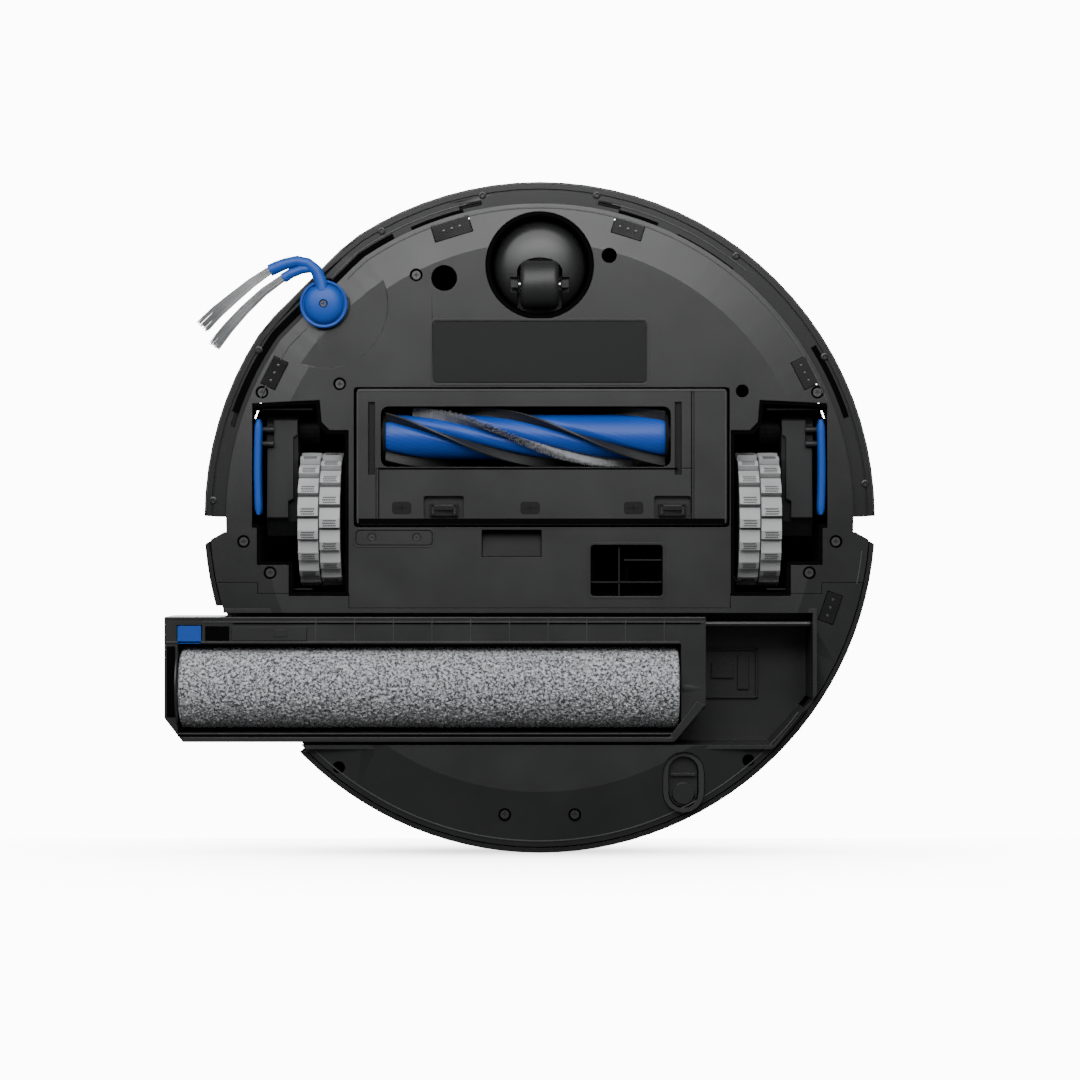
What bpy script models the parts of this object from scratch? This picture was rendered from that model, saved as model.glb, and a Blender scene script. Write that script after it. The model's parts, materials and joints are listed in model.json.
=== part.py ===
"""A round robot vacuum with a mop roller that slides out. Lengths are in millimetres until mm() makes them metres.

The robot stands on its wheels on z = 0. Its front is -Y, and the mop module slides out to -X.
"""

import math

import bmesh
import bpy
from mathutils import Matrix, Vector

for old in list(bpy.data.objects):
    bpy.data.objects.remove(old, do_unlink=True)

# Driving dimensions
BODY_R = 176.0
TOP_Z = 98.0
FACET_ANGLE = math.radians(225)
FACET_LOSS = 2.7
WALL = 2.6
BASE_Z = 9.5
BASE_FLAT_R = 143.6
BASE_RIM_R = 172.8
BASE_RIM_Z = 14.8
BASE_THICK = 2.4
FRONT_R = 164.3
BAY = (50.1, 119.1)
MOP_LEFT = -195.9
ORIGIN_SHIFT = 9.95
RING_STEPS = 96
WHEEL_R = 35.5
WHEEL_Y = 1.0
WHEEL_X = (103.9, 125.9)
PIVOT_Y, PIVOT_Z = -46.0, 34.0
BRUSH_Y, BRUSH_Z = -41.9, 18.0
SIDE_BRUSH = (-112.6, -111.0)
CASTER = (0.0, -131.6)
CASTER_AXLE = (-121.7, 12.5)
MOP_AXIS = (89.5, 22.2)
PORT = (75.2, 138.7)


def mm(value):
    return value * 0.001


root = bpy.data.objects.new("robot", None)
root.location = (mm(ORIGIN_SHIFT), 0, 0)
bpy.context.scene.collection.objects.link(root)


def material(name, colour, roughness=0.5, metallic=0.0):
    made = bpy.data.materials.new(name)
    made.use_nodes = True
    shader = made.node_tree.nodes["Principled BSDF"]
    shader.inputs["Base Color"].default_value = (*colour, 1)
    shader.inputs["Roughness"].default_value = roughness
    shader.inputs["Metallic"].default_value = metallic
    return made


BLACK = material("black_abs", (0.018, 0.019, 0.02), 0.45)
DARK = material("dark_abs", (0.010, 0.010, 0.011), 0.5)
GLOSS = material("gloss_black", (0.008, 0.008, 0.009), 0.15)
BLUE = material("blue_abs", (0.03, 0.14, 0.50), 0.4)
GREY = material("tyre_grey", (0.26, 0.27, 0.28), 0.7)
NAP = material("mop_nap", (0.35, 0.36, 0.38), 0.95)
BRISTLE = material("bristle", (0.08, 0.08, 0.09), 0.8)
STEEL = material("steel", (0.55, 0.56, 0.58), 0.3, 1.0)
BOARD = material("board_green", (0.02, 0.12, 0.05), 0.5)
TANK = material("tank_smoke", (0.05, 0.055, 0.06), 0.2)


def shape_of(name, bm):
    """A hidden helper object that holds one closed shape."""
    bmesh.ops.recalc_face_normals(bm, faces=bm.faces)
    twisted = [face for face in bm.faces if len(face.verts) == 4]
    bmesh.ops.triangulate(bm, faces=twisted)
    mesh = bpy.data.meshes.new(name)
    bm.to_mesh(mesh)
    bm.free()
    made = bpy.data.objects.new(name, mesh)
    made.hide_render = True
    made.display_type = "WIRE"
    bpy.context.scene.collection.objects.link(made)
    return made


def loft(sections, closed=False):
    """A closed solid through a list of sections, each a list of points in order."""
    bm = bmesh.new()
    rings = [[bm.verts.new(point) for point in section] for section in sections]
    count = len(rings[0])
    last = len(rings) if closed else len(rings) - 1
    for i in range(last):
        one, two = rings[i], rings[(i + 1) % len(rings)]
        for j in range(count):
            k = (j + 1) % count
            bm.faces.new((one[j], one[k], two[k], two[j]))
    if not closed:
        bm.faces.new(rings[0][::-1])
        bm.faces.new(rings[-1])
    return shape_of("shape", bm)


def prism(outline, z0, z1):
    return loft([[(x, y, z) for x, y in outline] for z in (z0, z1)])


def prism_x(outline, x0, x1):
    """An outline of (y, z) points drawn out along X."""
    return loft([[(x, y, z) for y, z in outline] for x in (x0, x1)])


def box(x0, x1, y0, y1, z0, z1):
    return prism([(x0, y0), (x1, y0), (x1, y1), (x0, y1)], z0, z1)


def circle(cx, cy, r, steps=24, turn=0.13):
    points = []
    for i in range(steps):
        a = 2 * math.pi * (i + turn) / steps
        points.append((cx + r * math.cos(a), cy + r * math.sin(a)))
    return points


def rounded(x0, x1, y0, y1, r, steps=4):
    points = []
    for cx, cy, start in ((x1 - r, y1 - r, 0), (x0 + r, y1 - r, 90), (x0 + r, y0 + r, 180), (x1 - r, y0 + r, 270)):
        for i in range(steps + 1):
            a = math.radians(start + 90 * i / steps)
            points.append((cx + r * math.cos(a), cy + r * math.sin(a)))
    return points


def cylinder(cx, cy, r, z0, z1, steps=24):
    return prism(circle(cx, cy, r, steps), z0, z1)


def cylinder_x(cy, cz, r, x0, x1, steps=24):
    return prism_x(circle(cy, cz, r, steps), x0, x1)


def turned_box(cx, cy, length, width, degrees, z0, z1):
    a = math.radians(degrees)
    points = []
    for u, v in ((-1, -1), (1, -1), (1, 1), (-1, 1)):
        x, y = u * length / 2, v * width / 2
        points.append((cx + x * math.cos(a) - y * math.sin(a), cy + x * math.sin(a) + y * math.cos(a)))
    return prism(points, z0, z1)


def rim(r, a):
    """The radius at angle a of a shell whose round radius is r: the front left is cut to a flat facet."""
    c = math.cos(a - FACET_ANGLE)
    return min(r, (r - FACET_LOSS) / c) if c > 0.9 and r > 150 else r


def lathe(profile, steps=RING_STEPS, centre=(0, 0)):
    """Turns an (r, z) profile round Z. Its first and last points are on the axis and stand for the flat caps."""
    sections = []
    for r, z in profile[1:-1]:
        section = []
        for i in range(steps):
            a = 2 * math.pi * i / steps
            q = rim(r, a)
            section.append((centre[0] + q * math.cos(a), centre[1] + q * math.sin(a), z))
        sections.append(section)
    return loft(sections)


def turned_x(profile, cy, cz, steps=24):
    """Turns an (x, r) profile round an axis along X. The profile starts and ends at its flat ends."""
    sections = []
    for x, r in profile:
        sections.append([(x, y, z) for y, z in circle(cy, cz, r, steps)])
    return loft(sections)


def solid(name, surface, start, add=(), cut=(), keep=(), at=(0, 0, 0)):
    """One sub-part: the start shape, joined with add, kept inside keep, with cut taken away."""
    start.name = name
    start.hide_render = False
    start.display_type = "TEXTURED"
    start.data.materials.append(surface)
    for kind, others in (("UNION", add), ("INTERSECT", keep), ("DIFFERENCE", cut)):
        for other in others:
            step = start.modifiers.new(kind.lower(), "BOOLEAN")
            step.operation = kind
            step.object = other
            step.solver = "EXACT"
    origin = Vector(at)
    graph = bpy.context.evaluated_depsgraph_get()
    mesh = bpy.data.meshes.new_from_object(start.evaluated_get(graph))
    start.modifiers.clear()
    mesh.transform(Matrix.Scale(0.001, 4) @ Matrix.Translation(-origin))
    mesh.name = name
    start.data = mesh
    mesh.shade_smooth()
    mesh.set_sharp_from_angle(angle=math.radians(32))
    start.parent = root
    start.location = origin * 0.001
    return start


def arc(r, first, last, steps):
    points = []
    for i in range(steps + 1):
        a = math.radians(first + (last - first) * i / steps)
        q = rim(r, a)
        points.append((q * math.cos(a), q * math.sin(a)))
    return points


def mirrored(points, side):
    return [(side * x, y) for x, y in points]


# Base: a dished disc in two mouldings, split at the seam behind the wheels
dish_profile = [
    (0, BASE_Z),
    (BASE_FLAT_R, BASE_Z),
    (BASE_RIM_R, BASE_RIM_Z),
    (BASE_RIM_R, BASE_RIM_Z + BASE_THICK),
    (BASE_FLAT_R - 0.4, BASE_Z + BASE_THICK),
    (0, BASE_Z + BASE_THICK),
]
well = [
    (150.4, -59.5), (114.9, -61.1), (113.9, -49.6), (109.7, -45.4), (99.8, -45.4), (99.8, 41.3),
    (131.1, 41.3), (131.1, 25.1), (147.8, 25.1), (147.8, 5.7), (150.4, 5.7),
]


def inset_well(side, gap):
    """The wheel well's outline, drawn in by gap on every side, towards its middle parts."""
    cx, cy = 122.0, -8.0
    points = []
    for x, y in well:
        nx = x - gap if x > cx else x + gap
        ny = y - gap if y > cy else y + gap
        if x == 131.1:
            nx = 131.1 - gap
        if x in (113.9, 109.7):
            nx, ny = x + gap, y + gap
        points.append((side * nx, ny))
    return points


front_region = (
    [(147.3, 34.2), (180, 34.2), (180, 15.9), (165.2, 7.8)]
    + arc(FRONT_R, 2.7, -182.7, 60)
    + [(-165.2, 7.8), (-180, 15.9), (-180, 34.2), (-147.3, 34.2), (-147.3, 39.9)]
    + [(-99.5, 39.9), (-99.5, 47.4), (99.5, 47.4), (99.5, 39.9), (147.3, 39.9)]
)
screw_wells = [(-64.5, -126.4), (-104.5, -69.5), (145.3, -65.3), (-145.3, -65.3)]
screw_wells += [(154.9, 12.8), (-154.9, 12.8), (140.8, 29.1), (-140.8, 29.1)]
base_holes = [(-49.9, -124.8, 6.8), (36.3, -136.6, 4.0), (105.8, -65.8, 3.4)]
cliff_sensors = {
    "cliff_sensor_front_left": (-46.0, -150.8, 20.0, 8.4, -17),
    "cliff_sensor_front_right": (46.2, -150.6, 15.8, 7.9, 17),
    "cliff_sensor_side_left": (-138.7, -75.3, 15.4, 7.9, 117),
    "cliff_sensor_side_right": (138.7, -75.3, 15.4, 7.9, 63),
    "cliff_sensor_rear_right": (152.0, 47.5, 15.4, 7.9, 109),
}


def skin_z(x, y):
    """Height of the base's underside at a point."""
    r = math.hypot(x, y)
    slope = (BASE_RIM_Z - BASE_Z) / (BASE_RIM_R - BASE_FLAT_R)
    return BASE_Z + max(0.0, r - BASE_FLAT_R) * slope


front_cuts = [prism(mirrored(well, side), 0, 40) for side in (1, -1)]
front_cuts += [
    prism(rounded(-97.1, 99.2, -67.8, 5.3, 1.5, 2), 0, 40),
    cylinder(*CASTER, 28.4, 0, 40, 48),
    cylinder(*SIDE_BRUSH, 33.4, 0, BASE_Z + 0.9, 48),
    cylinder(*SIDE_BRUSH, 13.4, 0, 11.2, 32),
    cylinder(*SIDE_BRUSH, 3.3, 0, 40, 16),
    prism(rounded(-55.9, 55.9, -102.4, -70.0, 2), 0, BASE_Z + 0.8),
    prism(rounded(-96.1, -55.9, 6.9, 14.9, 2), 0, BASE_Z + 1.1),
    box(-30.3, 1.0, 6.6, 20.9, 0, 16.5),
    prism(rounded(26.6, 64.2, 14.6, 41.3, 1.5, 2), 0, 40),
]
front_cuts += [cylinder(x, y, r, 0, 40, 20) for x, y, r in base_holes]
front_cuts += [cylinder(x, y, 3.4, 0, skin_z(x, y) + 1.5, 16) for x, y in screw_wells]
for x, y, length, width, turn in list(cliff_sensors.values())[:4]:
    front_cuts.append(turned_box(x, y, length + 0.8, width + 0.8, turn, 0, 40))
solid(
    "base_plate", BLACK, lathe(dish_profile), keep=[prism(front_region, 0, 40)],
    add=[box(-32.0, 2.7, 6.3, 22.6, 10.5, 18.2), cylinder(*SIDE_BRUSH, 7.5, 11.3, 14.6)], cut=front_cuts,
)

rear_region = [
    (147.6, 34.5), (180, 34.5), (180, 180), (-180, 180), (-180, 34.5), (-147.6, 34.5), (-147.6, 40.2),
    (-99.8, 40.2), (-99.8, 47.7), (99.8, 47.7), (99.8, 40.2), (147.6, 40.2),
]
bay_inner = [(-210, BAY[0]), (142.7, BAY[0]), (142.7, 95.8), (122.0, BAY[1]), (-210, BAY[1])]
rim_left = [(BASE_RIM_R * math.cos(math.radians(a)), BASE_RIM_R * math.sin(math.radians(a)) * 0.998) for a in range(163, 136, -3)]
bay_walls = [(-165.4, 47.9), (144.9, 47.9), (144.9, 92.5), (123.0, 120.2), (121.0, 121.3), (-122.0, 121.3)] + rim_left[::-1]
rear_cuts = [prism(bay_inner, -5, 52.4)]
rear_cuts += [prism(mirrored(well, side), 0, 40) for side in (1, -1)]
rear_cuts += [cylinder(x, y, 3.4, 0, skin_z(x, y) + 1.5, 16) for x, y in ((18.3, 155.6), (-18.3, 155.6))]
rear_cuts += [cylinder(x, y, 3.3, 0, 40, 16) for x, y in ((-105.2, 131.1), (109.4, 127.4))]


def stadium(cx, cy, width, height, steps=8):
    r = width / 2
    half = height / 2 - r
    points = []
    for start, sign in ((0, 1), (180, -1)):
        for i in range(steps + 1):
            a = math.radians(start + 180 * i / steps)
            points.append((cx + r * math.cos(a), cy + sign * half + r * math.sin(a)))
    return points


rear_cuts.append(prism(stadium(*PORT, 22.0, 32.4), 0, 24))
x, y, length, width, turn = cliff_sensors["cliff_sensor_rear_right"]
rear_cuts.append(turned_box(x, y, length + 0.8, width + 0.8, turn, 0, 30))
solid(
    "rear_base", BLACK, lathe(dish_profile), keep=[prism(rear_region, 0, 80)],
    add=[prism(bay_walls, 10.4, 54.6)],
    cut=rear_cuts,
)

# Side wall: the rear rim, stepping in to the wall behind the bumper
wall_outer = arc(BODY_R, 4.6, 175.4, 54) + [(-165.2, 8.1)] + arc(161.0, 177.1, 362.9, 60) + [(165.2, 8.1)]
wall_inner = arc(BODY_R - WALL, 6.4, 173.6, 54) + [(-164.4, 11.2)] + arc(158.4, 176.0, 364.0, 60) + [(164.4, 11.2)]
wall_cuts = [prism(wall_inner, 0, 120), cylinder(0, 0, 173.3, 0, 17.7, RING_STEPS), cylinder(0, 0, 165.6, 0, 18.7, RING_STEPS), cylinder(*CASTER, 30.0, 0, 38, 32)]
for side in (1, -1):
    xs = sorted((side * 98.5, side * 152.0))
    wall_cuts.append(box(*xs, -63, 42, 0, 77.5))
wall_cuts.append(box(-210, -100, 46.5, 123.0, 0, 56.0))
wall_cuts.append(cylinder(*SIDE_BRUSH, 9.5, 0, 50, 24))
for side in (1, -1):
    xs = sorted((side * 20.0, side * 33.0))
    wall_cuts.append(box(*xs, 160, 190, 29.5, 39.5))
solid("side_shell", BLACK, prism(wall_outer, 15.7, 86.0), cut=wall_cuts)
for side, label in ((1, "right"), (-1, "left")):
    xs = sorted((side * 20.4, side * 32.6))
    solid("dock_contact_" + label, STEEL, box(*xs, 170.5, 172.8, 29.9, 39.1))

# Top deck and lift-off cover
deck_outline = arc(BODY_R, 4.6, 175.4, 54) + [(-165.2, 8.1)] + arc(164.8, 177.1, 362.9, 60) + [(165.2, 8.1)]
solid("top_deck", BLACK, prism(deck_outline, 86.3, 89.5), cut=[prism(rounded(-61, 67, 6.5, 47.4, 3), 80, 95)])
cover_profile = [
    (0, 95.4), (152, 95.0), (160.9, 92.2), (160.9, 89.8), (163.6, 89.8), (163.6, 93.0), (160.0, 96.4), (151, TOP_Z), (0, TOP_Z),
]
solid("top_cover", GLOSS, lathe(cover_profile, 72), cut=[cylinder(0, -120, 9.4, 80, 120, 32)])
solid("power_button", BLACK, lathe([(0, 92), (3, 92), (3, 95), (9, 95), (9, 97.4), (8.4, 97.9), (0, 97.9)], 32, (0, -120)))
solid("label_plate", DARK, prism(rounded(-55.5, 55.5, -102.0, -70.4, 2), BASE_Z + 0.1, BASE_Z + 0.5))
solid("hatch_plate", BLACK, prism(rounded(-95.7, -56.3, 7.3, 14.5, 2), BASE_Z - 0.2, BASE_Z + 0.8),
      cut=[cylinder(x, 10.7, 2.4, 5, BASE_Z + 0.2, 16) for x in (-87.7, -64.2)])

# Main brush
solid(
    "brush_housing", DARK, box(-99.2, 99.6, -69.5, -15.0, 12.3, 42.0),
    add=[box(-99.2, 99.6, -15.5, 6.1, 12.3, 22.0)],
    cut=[
        box(-97.6, 98.0, -67.8, 4.4, 0, 13.8),
        cylinder_x(BRUSH_Y, BRUSH_Z, 20.4, -93.6, 79.8, 32),
        box(-93.6, 79.8, -61.4, -20.6, 0, BRUSH_Z),
        box(-70, 40, -30, -10, 24.0, 30.0),
    ],
)
guard_cuts = [
    prism(rounded(-82.9, 68.4, -57.7, -26.1, 4), 0, 20),
    box(-89.5, -86.0, -60.0, -22.0, 0, 20), box(70.5, 74.0, -60.0, -22.0, 0, 20),
    prism(rounded(-60.5, -39.6, -11.0, 1.1, 1, 2), 0, 11.6), prism(rounded(59.7, 78.8, -11.0, 1.1, 1, 2), 0, 11.6),
    box(-84.6, 79.6, -25.6, -24.9, 0, 8.7), box(-85.6, -84.9, -25.6, 5, 0, 8.7), box(80.0, 80.7, -68, 5, 0, 8.7),
    box(-93.0, 79.0, -61.0, -21.2, 10.6, 20),
]
solid("brush_guard", BLACK, prism(rounded(-95.6, 97.7, -66.8, 4.0, 2), 7.9, 13.2), cut=guard_cuts, at=(0, -66.4, 8.4))
for label, x0, x1 in (("left", -57.5, -42.6), ("right", 62.0, 76.5)):
    solid("guard_latch_" + label, DARK, box(x0, x1, -7.0, -0.6, 8.6, 11.2), add=[box(x0 + 2, x1 - 2, -5.5, -3.5, 7.9, 9)],
          at=((x0 + x1) / 2, -4, 10))
brush_at = (-6, BRUSH_Y, BRUSH_Z)
core = turned_x([(-93.2, 2.5), (-90.5, 2.5), (-90.5, 7.2), (77.0, 7.2), (77.0, 3.0), (79.4, 3.0)], BRUSH_Y, BRUSH_Z, 16)
solid("brush_core", DARK, core, at=brush_at)


def finned(lobes, inner, outer, width, x, turn, count):
    """One section of the brush sleeve: a round tube's edge that rises into lobes."""
    points = []
    for i in range(count):
        a = 2 * math.pi * i / count
        near = abs((a * lobes / (2 * math.pi) + 0.5) % 1.0 - 0.5) * 2 * math.pi / lobes
        lift = max(0.0, 1.0 - near / width) ** 0.6
        r = inner + (outer - inner) * lift
        points.append((x, BRUSH_Y + r * math.cos(a + turn), BRUSH_Z + r * math.sin(a + turn)))
    return points


sleeve = loft([finned(3, 9.6, 15.8, 0.42, -80.6 + 146.4 * i / 14, 3.4 * i / 14, 24) for i in range(15)])
solid("brush_sleeve", BLUE, sleeve, cut=[cylinder_x(BRUSH_Y, BRUSH_Z, 7.6, -95, 85, 16)], at=brush_at)
solid("brush_motor", DARK, cylinder_x(-4.0, 34.5, 10.5, 18, 72), add=[cylinder_x(-4.0, 34.5, 3, 70, 78, 12)])
solid("brush_gearbox", BLACK, prism_x(rounded(-50, 9, 42.4, 60, 4, 2), 81, 97), add=[box(81, 97, -12, 9, 23, 44)])

# Inside
solid("battery_pack", BLUE, prism(rounded(-70, 70, -102.6, -71.5, 3, 2), 12.4, 51))
solid("main_board", BOARD, box(-64, 64, -104, -64, 64, 65.6), add=[box(-20, 4, -96, -72, 65, 68), box(20, 50, -90, -80, 65, 71)])
solid("suction_fan", DARK, cylinder(-79.5, 27, 17, 13.5, 50, 32), add=[cylinder(-79.5, 27, 9, 49, 56, 24)])
solid(
    "dust_bin", TANK, prism(rounded(-60.4, 66.4, 7.2, 46.8, 2.8), 19.0, 88.6),
    cut=[box(-58, 64, 9.6, 44.4, 22, 86), box(28.5, 44.5, 16.5, 39.5, 15, 25), box(46.5, 62.3, 16.5, 39.5, 15, 25)],
)
solid("clean_water_tank", TANK, prism(rounded(-120, 118, 52, 117, 8, 3), 57, 84))
solid("water_pump", DARK, cylinder(30, 140, 11, 15.2, 40), add=[box(8, 30, 134, 146, 15.2, 34)])

# Bumper: a half ring, open at the back
bumper_profile = [
    (161.5, 16.1), (171.2, 16.1), (171.2, 17.0), (172.2, 17.0), (172.2, 16.1), (174.6, 16.1), (BODY_R, 17.6), (BODY_R, 86.6),
    (174.4, 88.4), (169.6, 88.4), (169.6, 86.2), (173.2, 86.2), (173.2, 18.1), (161.5, 18.1),
]
BUMPER_STEPS = 44
ring = []
for i in range(BUMPER_STEPS + 1):
    a = math.radians(180.2 + (359.8 - 180.2) * i / BUMPER_STEPS)
    ring.append([(rim(r, a) * math.cos(a), rim(r, a) * math.sin(a), z) for r, z in bumper_profile])
bumper_cuts = [
    cylinder(CASTER[0], CASTER[1] - 4, 29.2, 0, 60, 40),
    cylinder(*SIDE_BRUSH, 11.8, 0, 60, 24),
    cylinder(SIDE_BRUSH[0], SIDE_BRUSH[1] - 4, 10.5, 0, 60, 24),
    turned_box(-36.4, -163.6, 12.0, 2.6, -12, 0, 30), turned_box(36.6, -163.6, 12.0, 2.6, 12, 0, 30),
    turned_box(-160.0, -50.9, 8.0, 2.4, 107, 0, 30), turned_box(151.5, -74.7, 14.0, 2.6, 64, 0, 30),
    box(-151.6, -140, -64.4, -50, 0, 30), box(140, 151.6, -64.4, -50, 0, 30),
]


def slab(r0, r1, a0, a1, z0, z1, steps):
    """A curved slab between two radii and two angles."""
    inner = arc(r0, a0, a1, steps)
    return prism(inner + arc(r1, a0, a1, steps)[::-1], z0, z1)


bumper_cuts.append(slab(165, 190, 246, 294, 44, 64, 12))
solid("bumper_shell", BLACK, loft(ring), cut=bumper_cuts)
solid("bumper_window", GLOSS, slab(173.4, 175.8, 246.3, 293.7, 44.3, 63.7, 12))

# Caster
caster_z = 30.0
solid(
    "caster_socket", DARK, lathe([(0, 9.9), (28, 9.9), (28, 34.5), (0, 34.5)], 40, CASTER),
    cut=[cylinder(*CASTER, 26.1, 0, 31.8, 40), cylinder(*CASTER, 3.4, 20, 50, 16)],
)
turret = lathe([(0, 13.5), (20, 11.5), (24.5, 13.0), (24.5, 27.0), (21, 31.4), (3.0, 31.4), (3.0, 33.9), (0, 33.9)], 40, CASTER)
solid(
    "caster_turret", BLACK, turret,
    add=[cylinder_x(*CASTER_AXLE, 4.2, -14.9, 14.9, 16), box(-14.9, 14.9, CASTER_AXLE[0] - 4, CASTER_AXLE[0] + 4, 12.5, 16)],
    cut=[
        cylinder_x(*CASTER_AXLE, 13.6, -10.8, 10.8, 28), box(-10.8, 10.8, -134.5, -108.9, 0, 14),
        cylinder_x(*CASTER_AXLE, 1.8, -13.2, 13.2, 12),
    ],
    at=(*CASTER, 20),
)
wheel = turned_x([(-10, 10.6), (-8.6, 12.2), (-7, 12.5), (7, 12.5), (8.6, 12.2), (10, 10.6)], *CASTER_AXLE, 32)
solid("caster_wheel", DARK, wheel, cut=[cylinder_x(*CASTER_AXLE, 1.8, -12, 12, 12)], at=(0, *CASTER_AXLE))
solid("caster_axle", STEEL, cylinder_x(*CASTER_AXLE, 1.4, -12.8, 12.8, 12), at=(0, *CASTER_AXLE))

# Side brush
hub_x, hub_y = SIDE_BRUSH
hub = lathe([(0, 3.6), (6, 3.9), (9.5, 4.8), (10.5, 6.2), (12.5, 6.4), (12.5, 8.4), (9, 10.8), (0, 10.8)], 32, SIDE_BRUSH)
arm_path = [(-114.5, -119.0), (-116.0, -127.0), (-121.0, -132.5), (-128.0, -133.2), (-135.0, -130.5), (-140.5, -128.6)]


def ribbon(path, widths, z0, z1):
    """A flat strip along a path of points, as one prism."""
    left, right = [], []
    for i, (x, y) in enumerate(path):
        ahead = Vector(path[min(i + 1, len(path) - 1)]) - Vector(path[max(i - 1, 0)])
        side = Vector((-ahead.y, ahead.x)).normalized() * widths[i] / 2
        left.append((x + side.x, y + side.y))
        right.append((x - side.x, y - side.y))
    return prism(left + right[::-1], z0, z1)


solid(
    "side_brush_hub", BLUE, hub,
    add=[
        ribbon(arm_path, (7, 6.2, 6, 6, 5.6, 5), 4.2, 9.1),
        ribbon([(-121.5, -131.0), (-127.0, -128.0), (-133.4, -124.6)], (4, 4.4, 4.4), 4.3, 9.0),
        cylinder(hub_x, hub_y, 2.4, 10, 19.5, 16),
    ],
    at=(hub_x, hub_y, 7),
)
tuft_one = [(-141.6, -128.2), (-150.0, -122.0), (-163.0, -111.0), (-175.0, -100.0)]
tuft_two = [(-133.8, -124.4), (-144.0, -117.0), (-155.0, -106.0), (-165.5, -95.0), (-170.0, -88.0)]
solid("side_brush_tuft_long", BRISTLE, ribbon(tuft_one, (3.4, 4.4, 6.0, 7.2), 4.4, 7.4), at=(hub_x, hub_y, 7))
solid("side_brush_tuft_short", BRISTLE, ribbon(tuft_two, (3.2, 4.2, 5.0, 6.0, 5.6), 4.4, 7.4), at=(hub_x, hub_y, 7))
solid("side_brush_motor", DARK, cylinder(hub_x, hub_y, 7, 16.2, 44), cut=[cylinder(hub_x, hub_y, 2.8, 10, 20.5, 16)])


# Drive wheels, right side = 1, left side = -1
def gear(cy, cz, low, high, lugs, turn, fill=0.62):
    points = []
    for i in range(lugs):
        for part, r in ((0.0, low), (0.10, high), (fill, high), (fill + 0.10, low)):
            a = 2 * math.pi * (i + turn + part) / lugs
            points.append((cy + r * math.cos(a), cz + r * math.sin(a)))
    return points


def coil(cx, cy, z0, z1, r, wire, turns, steps=9, sides=5):
    """A compression spring: a round wire along a helix about Z."""
    sections = []
    count = int(turns * steps)
    for i in range(count + 1):
        a = 2 * math.pi * i / steps
        z = z0 + wire + (z1 - z0 - 2 * wire) * i / count
        section = []
        for j in range(sides):
            b = 2 * math.pi * j / sides
            q = r + wire * math.cos(b)
            section.append((cx + q * math.cos(a), cy + q * math.sin(a), z + wire * math.sin(b)))
        sections.append(section)
    return loft(sections)


for side, label in ((1, "right"), (-1, "left")):
    outer, inner = inset_well(side, 0.35), inset_well(side, 1.9)
    span = sorted((side * 147.9, side * 152))
    solid(
        label + "_wheel_housing", DARK, prism(outer, 10.2, 76.6),
        cut=[prism(inner, 0, 74.8), box(*span, -57.0, 3.6, 0, 52)],
    )
    pivot = (side * 136, PIVOT_Y, PIVOT_Z)
    xs = sorted((side * 127.2, side * 143.8))
    case = [(-53.5, 26), (-49, 23), (-30, 22), (2, 24.5), (10, 28), (12, 35), (9, 43), (2, 47), (-20, 50), (-44, 47), (-53.5, 40)]
    boss = sorted((side * 127.0, side * 120.0))
    can = sorted((side * 128.0, side * 116.5))
    pin = sorted((side * 143.0, side * 146.2))
    solid(
        label + "_gear_case", DARK, prism_x(case, *xs),
        add=[cylinder_x(WHEEL_Y, WHEEL_R, 5.5, *sorted((side * 128, side * 118)), 16), cylinder_x(-47.5, 41, 8.2, *can, 20)],
        at=pivot,
    )
    lever = [(-51.2, 12.5), (-44, 11.2), (-6, 11.2), (-1, 13.5), (-1, 30), (-12, 40), (-44, 44), (-51.2, 38)]
    solid(label + "_lever_plate", BLUE, prism_x(lever, *sorted((side * 149.7, side * 145.2))), at=pivot)
    hub_x0, hub_x1 = sorted((side * 104.4, side * 125.4))
    wheel_at = (side * 114.9, WHEEL_Y, WHEEL_R)
    solid(
        label + "_wheel_hub", DARK, cylinder_x(WHEEL_Y, WHEEL_R, 24.2, hub_x0, hub_x1, 32),
        cut=[cylinder_x(WHEEL_Y, WHEEL_R, 5.9, *sorted((side * 117.6, side * 130)), 16)], at=wheel_at,
    )
    rows = []
    for turn, low, high in ((0.0, 103.9, 114.6), (0.5, 115.2, 125.9)):
        rows.append(prism_x(gear(WHEEL_Y, WHEEL_R, 32.6, WHEEL_R, 18, turn), *sorted((side * low, side * high))))
    solid(
        label + "_tyre", GREY, cylinder_x(WHEEL_Y, WHEEL_R, 32.4, *sorted((side * 104.2, side * 125.6)), 32),
        add=rows, cut=[cylinder_x(WHEEL_Y, WHEEL_R, 24.6, -200, 200, 32)], at=wheel_at,
    )
    solid(label + "_spring", STEEL, coil(side * 136, -18, 50.6, 74.4, 5.0, 0.8, 4), at=(side * 136, -18, 50))

# Mop module: slides in along +X
mop_at = (0, 85, 30)
plan = [(MOP_LEFT, 52.2), (86.7, 52.2), (86.7, 98.0), (70.0, 117.5), (-186.3, 117.5), (MOP_LEFT, 105.0)]
solid(
    "mop_carrier", BLACK, prism(plan, 8.6, 50.0),
    cut=[
        cylinder_x(*MOP_AXIS, 23.2, -189.0, 73.8, 32),
        box(-189.0, 73.8, 66.3, 112.7, 0, MOP_AXIS[1]),
        box(-25, 90, 53.4, 58.4, 19.2, 24.8),
        cylinder_x(60.5, 38, 5.6, 38, 90, 20),
        box(-189.4, -176.3, 56.4, 66.5, 0, 18),
        box(-120, 36, 56.0, 64.0, 26, 60), box(-172, -124, 56.0, 64.0, 22, 60),
        cylinder_x(*MOP_AXIS, 3.4, -192.5, 77, 16),
    ],
    at=mop_at,
)
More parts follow.
